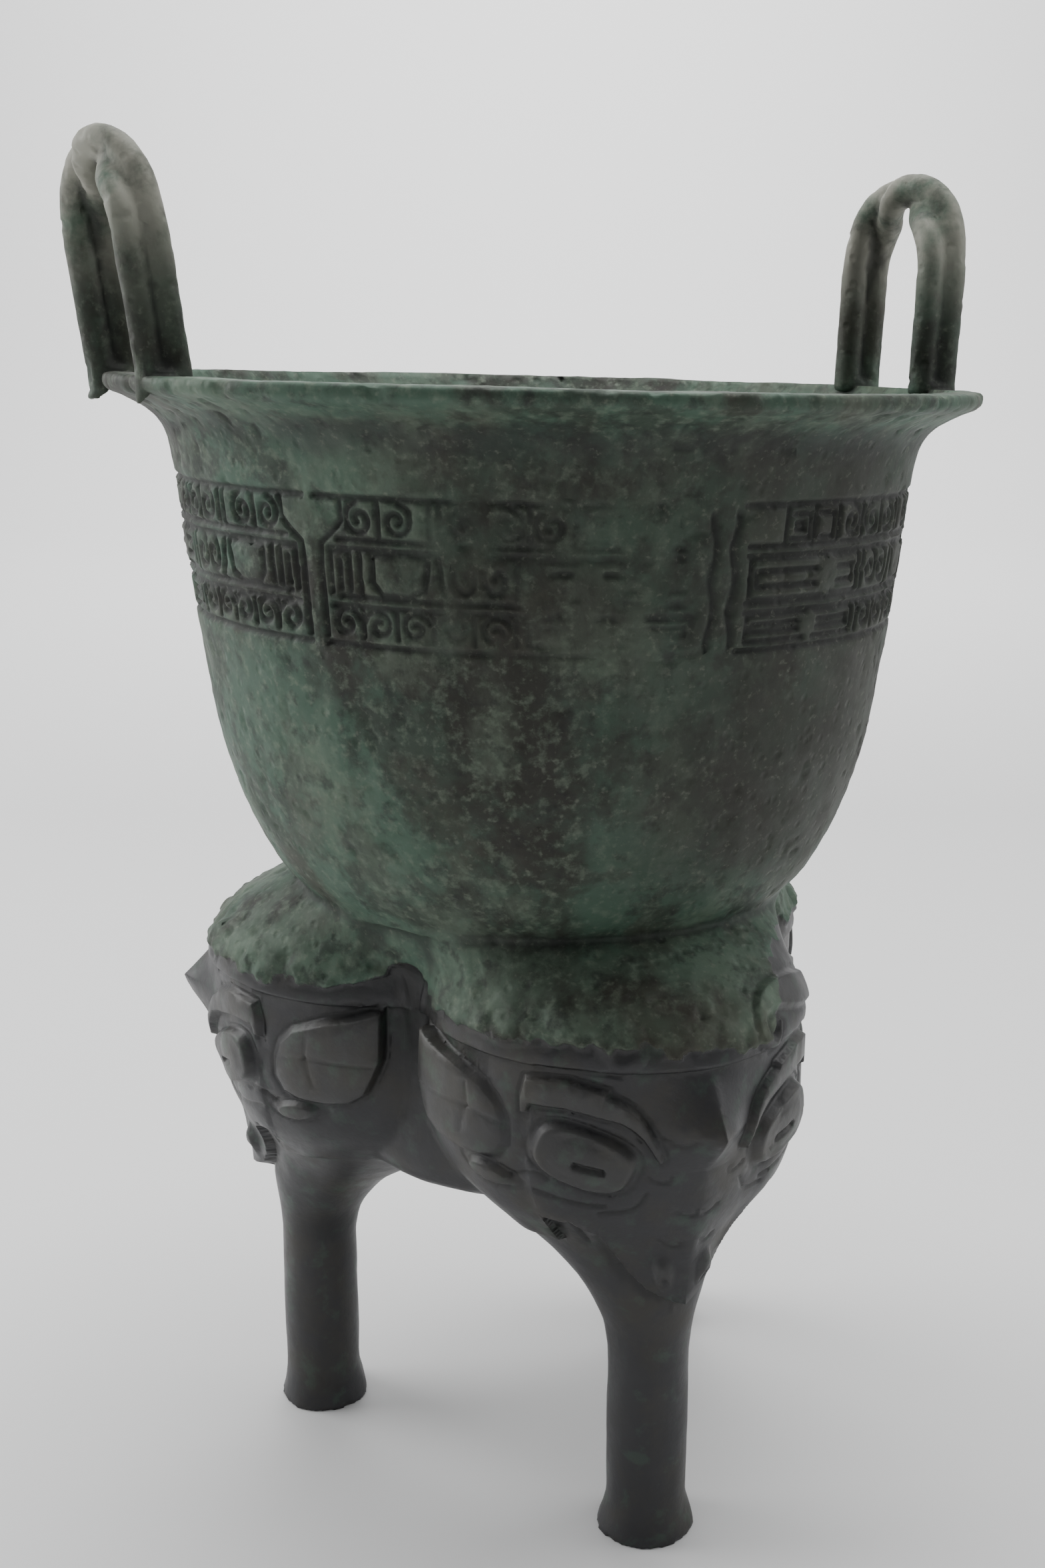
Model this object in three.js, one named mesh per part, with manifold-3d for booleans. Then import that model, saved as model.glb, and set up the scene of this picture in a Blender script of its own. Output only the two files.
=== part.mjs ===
// A cast bronze yan: a deep steaming bowl in one casting with a three-lobed boiler on three legs.
// Millimetres, Z up. The origin is on the floor under the bowl's axis, and one leg stands at the front,
// on -Y. Turns are degrees about Z from the front, growing towards +X.
import * as THREE from 'three';
import { mergeVertices } from 'three/addons/utils/BufferGeometryUtils.js';
import Module from 'manifold-3d';

const wasm = await Module();
wasm.setup();

// Bowl
const waistHeight = 193;
const bowlHeight = 153.4;
const waistRadius = 77;
const bowlRadius = 110.4;
const rimRadius = 130;
const rimWidth = 8;
const lipFace = 4.4;
const lipFlare = 27;
const wall = 3.6;
const bowlSides = 36;
const rimHeight = waistHeight + bowlHeight;
const rimFall = 0.065;
const rimFallTurn = 132;

// Boiler and legs
const legCount = 3;
const footCircle = 76;
const footRadius = 15.2;
const footFlare = 13;
const legRadius = 12.4;
const legTop = 62;
const bellyRadius = 57.4;
const shoulderHeight = 165;
const shoulderCentre = 50.5;
const shoulderReach = 107;
const waistCentre = 6;
const cleftRadius = 67;
const archHeight = 103.5;
const archRounding = 13;
const coreSides = 24;
const pocketFloor = 92;

// Handles. Each stands at its own turn, skewed out of the rim's line, and leans out over its rise.
const leftHandle = { turn: -92.8, skew: 6.3, rise: 62.2, lean: 7.2 };
const rightHandle = { turn: 86.4, skew: -2, rise: 64.5, lean: 2.3 };
const handleSpread = 24;
const handleInset = 8.5;
const handleCircle = rimRadius - handleInset;
const strandRadius = 3.8;
const strandGap = 3.3;
const gripDepth = 8;
const gripReach = 3;
const footRoot = 2;

// Masks on the lobes: heights of relief over the ground
const browRelief = 2.8;
const eyeRelief = 3.4;
const earRelief = 2.8;
const earGrowth = 0.032;
const hornRelief = 1.5;
const buriedHorn = 0.5;
const nostrilRelief = 2.8;
const jawStep = 2.4;
const ledge = 1.4;
const ledgeFoot = shoulderHeight - 2.5;
const ledgeTop = shoulderHeight - 1;
const beakReach = 7.6;
const beakTips = [145.4, 148.4, 151.4];
const slitDepth = 1.8;
const slitHalf = 0.9;
const rooting = 3.2;

// Band round the bowl
const bandTop = 315.5;
const bandBottom = 279.4;
const bandRelief = 1.3;
const maskTurn = 61.4;

const rad = THREE.MathUtils.degToRad;
const lerp = THREE.MathUtils.lerp;

// Value of a list of [place, value] rows at x, straight between rows.
function along(rows, x, column = 1) {
  if (x <= rows[0][0]) return rows[0][column];
  for (let i = 1; i < rows.length; i += 1) {
    if (x <= rows[i][0]) {
      const share = (x - rows[i - 1][0]) / (rows[i][0] - rows[i - 1][0]);
      return lerp(rows[i - 1][column], rows[i][column], share);
    }
  }
  return rows[rows.length - 1][column];
}

// Point at a distance from the axis in the direction of a turn.
function polar(distance, turn, z) {
  return new THREE.Vector3(distance * Math.sin(rad(turn)), -distance * Math.cos(rad(turn)), z);
}

// A closed geometry through rings of points, capped at both ends.
function loft(rings) {
  const sides = rings[0].length;
  const points = rings.flat();
  const index = [];
  for (let k = 0; k < rings.length - 1; k += 1) {
    for (let i = 0; i < sides; i += 1) {
      const next = (i + 1) % sides;
      const a = k * sides + i;
      const b = k * sides + next;
      index.push(a, b, b + sides, a, b + sides, a + sides);
    }
  }
  for (const [k, flip] of [[0, true], [rings.length - 1, false]]) {
    const middle = new THREE.Vector3();
    rings[k].forEach((p) => middle.addScaledVector(p, 1 / sides));
    points.push(middle);
    for (let i = 0; i < sides; i += 1) {
      const edge = [k * sides + i, k * sides + ((i + 1) % sides)];
      if (flip) edge.reverse();
      index.push(points.length - 1, edge[0], edge[1]);
    }
  }
  const geometry = new THREE.BufferGeometry();
  const numbers = points.flatMap((p) => [p.x, p.y, p.z]);
  geometry.setAttribute('position', new THREE.Float32BufferAttribute(numbers, 3));
  geometry.setIndex(index);
  return geometry;
}

// The old vessel has sunk to one side: its level lines fall towards one turn, more the higher they are.
function sink(position) {
  const downhill = polar(1, rimFallTurn, 0);
  const v = new THREE.Vector3();
  for (let i = 0; i < position.count; i += 1) {
    v.fromBufferAttribute(position, i);
    position.setZ(i, v.z - (rimFall * v.z * (v.x * downhill.x + v.y * downhill.y)) / rimHeight);
  }
}

// A solid from a closed geometry, turned right side out if its faces point in.
function solid(geometry) {
  const bare = geometry.clone();
  bare.deleteAttribute('normal');
  bare.deleteAttribute('uv');
  const merged = mergeVertices(bare, 1e-4);
  sink(merged.attributes.position);
  const mesh = { numProp: 3, vertProperties: new Float32Array(merged.attributes.position.array) };
  mesh.triVerts = new Uint32Array(merged.index.array);
  let signed = 0;
  const corner = (i) => new THREE.Vector3().fromArray(mesh.vertProperties, mesh.triVerts[i] * 3);
  for (let i = 0; i < mesh.triVerts.length; i += 3) {
    signed += corner(i).dot(corner(i + 1).cross(corner(i + 2)));
  }
  if (signed < 0) mesh.triVerts.reverse();
  return new wasm.Manifold(new wasm.Mesh(mesh));
}

// A turned solid from [radius, z] points that start and end on the axis.
function turned(outline, sides = bowlSides) {
  const lathe = new THREE.LatheGeometry(outline.map(([r, z]) => new THREE.Vector2(r, z)), sides);
  return solid(lathe.rotateX(Math.PI / 2));
}

// Points of a smooth curve through [radius, z] points.
function smooth(points, count) {
  const curve = new THREE.SplineCurve(points.map(([r, z]) => new THREE.Vector2(r, z)));
  return curve.getPoints(count).map((p) => [p.x, p.y]);
}

// The bowl's outside from the waist to the underside of the lip, as shares of its height and swell.
const bowlShares = [[0, 0], [0.075, 0.24], [0.215, 0.5], [0.395, 0.7], [0.57, 0.81], [0.74, 0.9], [1, 1]];
const lipFoot = rimHeight - lipFlare;
const bowlSwell = bowlShares.map(([up, out]) => [
  lerp(waistRadius, bowlRadius, out),
  lerp(waistHeight, lipFoot, up),
]);

// Outside radius of the bowl's wall at a height below the lip.
function bowlRadiusAt(z) {
  return along(bowlSwell.map(([r, height]) => [height, r]), z);
}

function bowlOutside() {
  const overhang = rimRadius - bowlRadius;
  const rise = lipFlare - lipFace;
  const flare = [[bowlRadius, lipFoot], [bowlRadius + overhang * 0.1, lipFoot + rise * 0.45]];
  flare.push([bowlRadius + overhang * 0.3, lipFoot + rise * 0.72]);
  flare.push([bowlRadius + overhang * 0.66, lipFoot + rise * 0.9]);
  flare.push([rimRadius - 0.6, lipFoot + rise]);
  const below = waistHeight - 2;
  return turned([
    [0, below],
    [waistRadius, below],
    ...smooth(bowlSwell, 7),
    ...smooth(flare, 4).slice(1),
    [rimRadius, rimHeight - lipFace * 0.5],
    [rimRadius, rimHeight],
    [0, rimHeight],
  ]);
}

function bowlInside() {
  const mouth = rimRadius - rimWidth;
  const inner = bowlSwell.map(([r, z]) => [r - wall, z]);
  inner.unshift([inner[0][0] - wall, waistHeight - 1]);
  const flare = [inner[inner.length - 1], [bowlRadius - wall + 3, lipFoot + lipFlare * 0.5]];
  flare.push([mouth - 4, rimHeight - lipFace]);
  flare.push([mouth, rimHeight]);
  const above = rimHeight + 2;
  return turned([
    [0, inner[0][1]],
    ...smooth(inner, 5),
    ...smooth(flare, 2).slice(1),
    [mouth, above],
    [0, above],
  ]);
}

// Rows of a lobe over the leg: share of the height from the leg's top to the shoulder, the circle's
// distance from the axis as a share of the foot circle, and its swell from leg to belly.
const lobeRows = [
  [0, 1, 0],
  [0.1, 0.987, 0.04],
  [0.21, 0.935, 0.155],
  [0.29, 0.85, 0.29],
  [0.37, 0.765, 0.465],
  [0.447, 0.69, 0.665],
  [0.544, 0.632, 0.87],
  [0.69, 0.612, 0.99],
  [0.854, 0.632, 1],
  [1, shoulderCentre / footCircle, (shoulderReach - shoulderCentre - legRadius) / (bellyRadius - legRadius)],
];

// Centre distance and radius of a lobe's circle at a height, inset by a wall.
function lobeCircle(z, inset = 0) {
  if (z > shoulderHeight) {
    const t = Math.min(1, (z - shoulderHeight) / (waistHeight - shoulderHeight));
    const reach = lerp(shoulderReach, waistRadius, t * t);
    const centre = lerp(shoulderCentre, waistCentre, t * t * t);
    return [centre, reach - centre - inset];
  }
  if (z < legTop) {
    const flare = Math.max(0, 1 - z / footFlare);
    return [footCircle, lerp(legRadius, footRadius, flare * flare) - inset];
  }
  const share = (z - legTop) / (shoulderHeight - legTop);
  const radius = lerp(legRadius, bellyRadius, along(lobeRows, share, 2));
  return [footCircle * along(lobeRows, share, 1), radius - inset];
}

// Half the angle that a face takes up of a lobe's circle before it fades into the cleft.
const faceHalfAngle = 62;

// Height of the jaw's edge, where the face stands proud of the leg, by the angle off the nose.
const jawEdge = [[0, 85], [10, 86.2], [22, 89.5], [28, 95], [33, 109], [40, 113], [52, 114], [56, 108],
  [faceHalfAngle, 112]];

// Reach of the nose ridge over the lobe's circle by height.
const noseRidge = [[84, 4.5], [96, 6.8], [108, 6], [120, 5.4], [134, 5.6], [146, 6.5], [158, 3],
  [166, 0.8], [171, 0]];
const noseHalfAngle = 36;
const plateFade = 40;

// How far the face stands out at an angle off the nose and a height.
function faceRelief(angle, z) {
  const off = Math.abs(angle);
  const slope = Math.max(0, 1 - off / noseHalfAngle);
  const ridge = slope ** 1.3 * along(noseRidge, z);
  const edge = along(jawEdge, off);
  const plate = z >= edge ? jawStep * Math.max(0, 1 - (z - edge) / plateFade) : 0;
  const shoulder = ledge * THREE.MathUtils.smoothstep(z, ledgeFoot, ledgeTop);
  const fade = 1 - THREE.MathUtils.smoothstep(z, shoulderHeight, waistHeight);
  const front = 1 - THREE.MathUtils.smoothstep(off, faceHalfAngle, 90);
  return (ridge + plate) * front * (z >= edge ? 1 : 0) + shoulder * fade;
}

// Point of a lobe's surface: leg turn, angle off the nose, height.
function lobePoint(turn, angle, z, out = 0) {
  const [centre, radius] = lobeCircle(z);
  const reach = radius + faceRelief(angle, z) + out;
  return polar(centre, turn, z).add(polar(reach, turn + angle, 0));
}

const faceAngles = [10, 20, 28, 33, 44, 54, 72, 90, 110, 145];
const lobeAngles = [0, ...faceAngles, 180, ...faceAngles.map((a) => -a).reverse()];

// Heights of one upright line of the lobe's net, with a pair of rows on either side of the jaw's edge.
function lobeHeights(angle) {
  const edge = along(jawEdge, Math.abs(angle));
  const shank = legTop - 4;
  const belly = lerp(legTop, shoulderHeight, 0.61);
  return [
    0, footFlare * 0.4, footFlare, shank,
    ...[0.4, 0.72].map((t) => lerp(shank, edge, t)), edge - 0.3, edge + 0.3,
    lerp(edge, belly, 0.5), belly, lerp(belly, shoulderHeight, 0.5),
    ledgeFoot, ledgeTop,
    ...[0.33, 0.68, 1].map((t) => lerp(shoulderHeight, waistHeight, t)),
  ];
}

function lobeOutside(turn) {
  const lines = lobeAngles.map((angle) => lobeHeights(angle).map((z) => lobePoint(turn, angle, z)));
  return solid(loft(lines[0].map((_, k) => lines.map((line) => line[k]))));
}

// The middle of the boiler: its sides are the floors of the clefts and its underside tops the arches.
function core(inset = 0) {
  const radius = cleftRadius - inset;
  const floor = archHeight + inset;
  const top = waistHeight - 1;
  return turned([
    [0, floor],
    [radius - archRounding, floor],
    [radius - archRounding * 0.4, floor + archRounding * 0.3],
    [radius, floor + archRounding],
    [radius, lerp(shoulderHeight, waistHeight, 0.3)],
    [waistRadius - inset - 3, top],
    [0, top],
  ], coreSides);
}

function lobeInside(turn) {
  const heights = [0, 0.12, 0.33, 0.63, 1].map((t) => lerp(pocketFloor, shoulderHeight, t));
  heights.push(lerp(shoulderHeight, waistHeight, 0.54), waistHeight);
  const sides = 14;
  const rings = heights.map((z, k) => {
    const [centre, radius] = lobeCircle(z, wall);
    const girth = k === 0 ? radius * 0.7 : radius;
    return Array.from({ length: sides }, (_, i) => {
      return polar(centre, turn, z).add(polar(girth, turn + (i * 360) / sides, 0));
    });
  });
  return solid(loft(rings));
}

// The carving is drawn on a face with its shoulder and waist at these heights, and follows the real ones.
const drawnShoulder = 165;
const drawnWaist = 193;

function carvedHeight(z) {
  if (z <= drawnShoulder) return (z * shoulderHeight) / drawnShoulder;
  const share = (z - drawnShoulder) / (drawnWaist - drawnShoulder);
  return lerp(shoulderHeight, waistHeight, share);
}

// Ground of a half mask: side distance from the nose line and height, raised by out along the normal.
function maskGround(turn, side) {
  const place = (s, z) => lobePoint(turn, (side * s * 180) / (Math.PI * bellyRadius), carvedHeight(z));
  return (s, z, out) => {
    const across = place(s + 0.5, z).sub(place(s - 0.5, z));
    const up = place(s, z + 0.5).sub(place(s, z - 0.5));
    const normal = across.cross(up).multiplyScalar(side).normalize();
    return place(s, z).addScaledVector(normal, out);
  };
}

// Ground of the bowl's band: turn in degrees and height.
function bandGround(turn) {
  return (s, z, out) => {
    const radius = bowlRadiusAt(z);
    return polar(radius + out, turn + (s * 180) / (Math.PI * bowlRadius), z);
  };
}

// A boss over a closed outline of [s, z] points, with sloping sides and a slight crown. Its relief grows
// by a share of itself for each millimetre outward of its middle.
function boss(ground, outline, relief, inset = 0.84, crown = 0, growth = 0) {
  const n = outline.length;
  const middle = [0, 1].map((axis) => outline.reduce((sum, p) => sum + p[axis] / n, 0));
  const ring = (share, out) => outline.map(([s, z]) => {
    const place = lerp(middle[0], s, share);
    const height = out > 0 ? out * (1 + growth * (place - middle[0])) : out;
    return ground(place, lerp(middle[1], z, share), height);
  });
  const rings = [ring(1, -rooting), ring(1, relief * 0.25), ring(inset, relief)];
  if (crown) rings.push(ring(inset * 0.4, relief + crown));
  return solid(loft(rings));
}

// A ribbon along [s, z, half width] points, flat on top, ending square.
function ribbon(ground, path, relief, inset = 0.78) {
  const rings = path.map(([s, z, half], i) => {
    const from = path[Math.max(0, i - 1)];
    const to = path[Math.min(path.length - 1, i + 1)];
    const length = Math.hypot(to[0] - from[0], to[1] - from[1]);
    const side = [-(to[1] - from[1]) / length, (to[0] - from[0]) / length];
    const edge = (share, out) => ground(s + side[0] * half * share, z + side[1] * half * share, out);
    return [edge(-1, -rooting), edge(1, -rooting), edge(1, relief * 0.4), edge(inset, relief),
      edge(-inset, relief), edge(-1, relief * 0.4)];
  });
  return solid(loft(rings));
}

// Outline of a rounded oblong: centre, half length and half height, lean in degrees, squareness.
function oblong([s, z], length, height, lean, square = 2, count = 12) {
  const power = 2 / square;
  return Array.from({ length: count }, (_, i) => {
    const t = (i * 2 * Math.PI) / count;
    const x = length * Math.sign(Math.cos(t)) * Math.abs(Math.cos(t)) ** power;
    const y = height * Math.sign(Math.sin(t)) * Math.abs(Math.sin(t)) ** power;
    const [cos, sin] = [Math.cos(rad(lean)), Math.sin(rad(lean))];
    return [s + x * cos - y * sin, z + x * sin + y * cos];
  });
}

// Carving of a half mask, as side distance from the nose line and height.
const brow = [[52, 155, 5], [41, 156.6, 4.6], [29, 154, 4.6], [20, 149.2, 3.2], [14, 142.8, 1.9],
  [10.4, 134.8, 1.1]];
const horn = [[60, 171.4, 4.6], [44, 174.6, 4.6], [29, 176.6, 3.4], [20.4, 173.4, 2.8], [21.4, 166.8, 2.3],
  [29, 169, 1.5]];
const ear = [[95.5, 161.5], [78, 159.4], [66, 154.8], [58, 146.5], [56.4, 138], [62, 131.8], [75, 131],
  [90, 133.4]];
const eyeMiddle = [33, 137.5];
const eyeLean = 22;
const nostril = [[5, 91.4], [11.4, 90], [15, 96], [11.6, 102], [5.6, 100]];

function halfMask(turn, side, hornHeight) {
  const ground = maskGround(turn, side);
  return [
    ribbon(ground, brow, browRelief),
    boss(ground, oblong(eyeMiddle, 17.8, 9.6, eyeLean, 3, 10), eyeRelief, 0.8, 0.7),
    boss(ground, ear, earRelief, 0.92, 0, earGrowth),
    boss(ground, oblong([64, 126.8], 9.2, 3.1, 8, 2, 8), earRelief * 0.6),
    ribbon(ground, horn, hornHeight),
    boss(ground, nostril, nostrilRelief, 0.7),
  ];
}

function slit(turn, side) {
  const ground = maskGround(turn, side);
  const top = eyeRelief + 2;
  const floor = eyeRelief - slitDepth;
  const ends = [[26.2, 133.4], [37.2, 136.4]];
  const rings = ends.map(([s, z]) => [ground(s, z - slitHalf, floor), ground(s, z + slitHalf, floor),
    ground(s, z + slitHalf, top), ground(s, z - slitHalf, top)]);
  return solid(loft(rings));
}

// The pointed beak on the forehead, with its tip at a height.
function beak(turn, tip) {
  const root = [[0, 163.4], [-6.5, 160], [-9.5, tip], [-5, tip - 7], [0, tip - 13], [5, tip - 7], [9.5, tip],
    [6.5, 160]];
  const ring = (share, out) => root.map(([s, z]) => {
    const angle = (s * share * 180) / (Math.PI * bellyRadius);
    return lobePoint(turn, angle, carvedHeight(lerp(tip, z, share)), out);
  });
  return solid(loft([ring(1, -rooting - 2), ring(1, -1), ring(0.08, beakReach)]));
}

// Section of two strands side by side, as [outward, upward] points.
const pairSection = [1, -1].flatMap((side) => [-110, -55, 0, 55, 110].map((turn) => {
  const a = rad(turn);
  return [side * (strandGap + strandRadius * Math.cos(a)), side * strandRadius * Math.sin(a)];
}));

// A handle of two strands that wind once round each other over the arch. Its feet are rooted in the rim,
// and hang down over the lip where they stand outside it.
function handle(place) {
  const rise = place.rise - strandRadius;
  const facing = place.turn + place.skew;
  const straight = rise - handleSpread;
  const arch = Math.PI * handleSpread;
  const steps = 15;
  const stations = [0, ...Array.from({ length: steps + 1 }, (_, i) => straight + (arch * i) / steps)];
  stations.push(straight * 2 + arch);
  const rings = stations.map((way, k) => {
    const bend = THREE.MathUtils.clamp((way - straight) / handleSpread, 0, Math.PI);
    const drop = Math.max(0, way - straight - arch);
    const up = Math.min(way, straight) + handleSpread * Math.sin(bend) - drop;
    const aside = -handleSpread * Math.cos(bend);
    const twist = 2 * Math.PI * THREE.MathUtils.smoothstep(bend, 0.15, Math.PI - 0.15);
    const foot = k === 0 || k === stations.length - 1;
    return pairSection.map(([x, y]) => {
      const outward = x * Math.cos(twist) - y * Math.sin(twist);
      const inPlane = x * Math.sin(twist) + y * Math.cos(twist);
      const lean = (place.lean * Math.max(0, up)) / rise;
      const wide = aside - inPlane * Math.cos(bend);
      const point = polar(handleCircle + lean, place.turn, rimHeight + up + inPlane * Math.sin(bend));
      point.add(polar(outward, facing, 0)).add(polar(wide, facing + 90, 0));
      if (foot) {
        const outside = Math.hypot(point.x, point.y) - rimRadius;
        point.z -= lerp(footRoot, gripDepth, THREE.MathUtils.smoothstep(outside, -gripReach, 0));
      }
      return point;
    });
  });
  return solid(loft(rings));
}

// The band's nose bar, its crossbar and the two eyes of one mask, and the rib between two masks.
function bandMask(turn) {
  const ground = bandGround(turn);
  const tall = bandTop - bandBottom;
  const middle = lerp(bandBottom, bandTop, 0.5);
  const bar = (left, right, low, high) => [[left, low], [right, low], [right, high], [left, high]];
  const parts = [
    boss(ground, bar(-3, 3, bandBottom, bandTop - tall * 0.3), bandRelief, 0.8),
    boss(ground, bar(-9, 9, bandTop - tall * 0.32, bandTop), bandRelief, 0.86),
  ];
  for (const side of [-1, 1]) {
    parts.push(boss(ground, oblong([side * 22, middle], 5.6, 5.6, 0, 4, 8), bandRelief));
  }
  const rib = bandGround(turn + maskTurn);
  parts.push(boss(rib, bar(-3, 3, bandBottom, bandTop), bandRelief, 0.8));
  return parts;
}

function vessel() {
  const turns = Array.from({ length: legCount }, (_, i) => (i * 360) / legCount);
  let body = bowlOutside().add(core());
  turns.forEach((turn) => {
    body = body.add(lobeOutside(turn));
  });
  turns.forEach((turn, k) => {
    [-1, 1].forEach((side) => {
      const buried = (k === 0 && side < 0) || (k === 2 && side > 0);
      halfMask(turn, side, buried ? buriedHorn : hornRelief).forEach((carving) => {
        body = body.add(carving);
      });
      body = body.subtract(slit(turn, side));
    });
    body = body.add(beak(turn, beakTips[k]));
    bandMask(turn - 58.6).forEach((carving) => {
      body = body.add(carving);
    });
  });
  let hollow = bowlInside().add(core(wall));
  turns.forEach((turn) => {
    hollow = hollow.add(lobeInside(turn));
  });
  body = body.subtract(hollow);
  [leftHandle, rightHandle].forEach((place) => {
    body = body.add(handle(place));
  });
  return body;
}

// A named mesh from a solid.
function piece(name, shape, material) {
  const { vertProperties, triVerts } = shape.getMesh();
  const geometry = new THREE.BufferGeometry();
  geometry.setAttribute('position', new THREE.BufferAttribute(vertProperties, 3));
  geometry.setIndex(new THREE.BufferAttribute(triVerts, 1));
  geometry.computeVertexNormals();
  const mesh = new THREE.Mesh(geometry, material);
  mesh.name = name;
  return mesh;
}

const bronze = new THREE.MeshStandardMaterial({ color: 0x2f4a42, roughness: 0.62, metalness: 0.45 });

const yan = new THREE.Group();
yan.name = 'bronze_yan';
yan.add(piece('yan_vessel', vessel(), bronze));

export default yan;
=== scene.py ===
"""Looks of an old cast bronze yan: a steaming bowl and lobed boiler in one casting, on a plain pale floor.

The skin is modelled in millimetres and scaled to metres when it is placed in a mesh. A turn is in degrees
about Z from the front leg, growing towards +X.
"""

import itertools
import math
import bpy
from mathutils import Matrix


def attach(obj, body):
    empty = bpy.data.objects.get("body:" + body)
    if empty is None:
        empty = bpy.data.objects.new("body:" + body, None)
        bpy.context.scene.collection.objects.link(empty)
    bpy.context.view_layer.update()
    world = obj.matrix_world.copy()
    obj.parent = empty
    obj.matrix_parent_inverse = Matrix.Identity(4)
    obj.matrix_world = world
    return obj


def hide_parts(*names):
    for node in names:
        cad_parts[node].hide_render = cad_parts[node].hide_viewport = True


bl_info = {
    "name": "Bronze yan",
    "version": (1, 0, 0),
    "blender": (4, 5, 0),
    "location": "3D View > Sidebar > Yan",
    "description": "Models and finishes an old cast bronze steaming vessel over its packed solid",
    "category": "Object",
}

from types import SimpleNamespace

import bpy
import numpy as np
from bpy.props import FloatProperty, FloatVectorProperty, IntProperty, PointerProperty
from mathutils import Matrix, Vector

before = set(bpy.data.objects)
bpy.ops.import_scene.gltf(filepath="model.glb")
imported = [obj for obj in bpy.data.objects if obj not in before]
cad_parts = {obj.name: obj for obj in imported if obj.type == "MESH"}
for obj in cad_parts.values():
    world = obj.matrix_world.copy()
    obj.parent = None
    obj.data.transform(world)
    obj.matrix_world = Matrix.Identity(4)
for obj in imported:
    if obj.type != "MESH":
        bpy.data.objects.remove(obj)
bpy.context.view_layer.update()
NODE = "yan_vessel"
METRE = 0.001
WELD = 1e-6


def length(name, description, default):
    """A size in metres that a user can change."""
    return FloatProperty(name=name, description=description, default=default, unit="LENGTH", precision=4)


def degrees(name, description, default):
    """An angle in degrees that a user can change."""
    return FloatProperty(name=name, description=description + ", in degrees", default=default)


def colour(name, description, default):
    """A linear colour that a user can change."""
    return FloatVectorProperty(name=name, description=description, default=default, size=3, subtype="COLOR",
                               min=0, max=1)


# Sizes and colours that a user would change

class YanVesselSizes(bpy.types.PropertyGroup):
    """Sizes of the casting."""
    waist_height: length("Waist height", "Height of the joint between boiler and bowl", 0.193)
    bowl_height: length("Bowl height", "From the waist to the rim", 0.1534)
    waist_radius: length("Waist radius", "Outside radius at the waist", 0.077)
    bowl_radius: length("Bowl radius", "Outside radius under the lip", 0.1104)
    rim_radius: length("Rim radius", "Outside radius of the lip", 0.130)
    rim_width: length("Rim width", "Width of the lip's flat top", 0.008)
    lip_face: length("Lip thickness", "Height of the lip's outer face", 0.0044)
    lip_flare: length("Lip flare", "Height over which the wall turns out to the lip", 0.027)
    wall: length("Wall", "Thickness of the cast wall", 0.0036)
    foot_circle: length("Foot circle", "Distance of the feet from the axis", 0.076)
    foot_radius: length("Foot radius", "Radius of a foot's end", 0.0152)
    foot_flare: length("Foot flare", "Height of the foot's flare", 0.013)
    leg_radius: length("Leg radius", "Radius of a leg's shank", 0.0124)
    leg_top: length("Leg top", "Height at which a leg starts to swell", 0.062)
    belly_radius: length("Belly radius", "Radius of a lobe's belly", 0.0574)
    shoulder_height: length("Shoulder height", "Height of the lobes' shoulder", 0.165)
    shoulder_centre: length("Shoulder centre", "Distance of a lobe's middle from the axis", 0.0505)
    shoulder_reach: length("Shoulder reach", "Reach of the shoulder from the axis", 0.107)
    waist_centre: length("Waist centre", "Distance of a lobe's middle at the waist", 0.006)
    cleft_radius: length("Cleft radius", "Distance of the clefts' floor from the axis", 0.067)
    arch_height: length("Arch height", "Height of the boiler's underside", 0.1035)
    arch_rounding: length("Arch rounding", "Rounding of the underside's edge", 0.013)
    pocket_floor: length("Pocket floor", "Height of the hollow's floor over a leg", 0.092)
    left_rise: length("Left rise", "Height of the left handle over the rim", 0.0622)
    left_lean: length("Left lean", "Lean of the left handle outward over its height", 0.0072)
    right_rise: length("Right rise", "Height of the right handle over the rim", 0.0645)
    right_lean: length("Right lean", "Lean of the right handle outward over its height", 0.0023)
    handle_spread: length("Handle spread", "Half the distance between a handle's legs", 0.024)
    handle_inset: length("Handle inset", "Distance of a handle's foot inside the rim", 0.008)
    strand_radius: length("Strand radius", "Radius of one strand of a handle", 0.0041)
    strand_gap: length("Strand gap", "Half the distance between two strands", 0.0038)
    grip_depth: length("Grip depth", "Reach of a foot down over the lip", 0.008)
    left_turn: degrees("Left turn", "Turn of the left handle", -92.8)
    left_skew: degrees("Left skew", "Skew of the left handle off the rim", 4.5)
    right_turn: degrees("Right turn", "Turn of the right handle", 86.4)
    right_skew: degrees("Right skew", "Skew of the right handle off the rim", -2)
    rim_fall: FloatProperty(name="Rim fall", description="Fall of the rim per unit of reach", default=0.065)
    fall_turn: degrees("Fall turn", "Turn that the rim falls towards", 132)


class YanReliefSizes(bpy.types.PropertyGroup):
    """Heights of the carving."""
    brow: length("Brow", "Height of a brow over the face", 0.0021)
    eye: length("Eye", "Height of an eye over the face", 0.0027)
    ear: length("Ear", "Height of an ear over the face", 0.0028)
    horn: length("Horn", "Height of a horn over the shoulder", 0.0013)
    nostril: length("Nostril", "Height of a nostril wing", 0.0024)
    jaw: length("Jaw", "Step of the face's edge over the leg", 0.003)
    ledge: length("Ledge", "Step of the shoulder over the face", 0.0014)
    beak: length("Beak", "Reach of the beak over the forehead", 0.0082)
    vein: length("Vein", "Depth of the fine grooves", 0.0008)
    band: length("Band", "Depth of the grooves round the bowl", 0.0012)
    crust: length("Crust", "Thickness of the green crust", 0.001)
    voxel: length("Voxel", "Grain of the joined skin", 0.00115)
    triangles: IntProperty(name="Triangles", description="Most triangles of the skin", default=192000)


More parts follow.
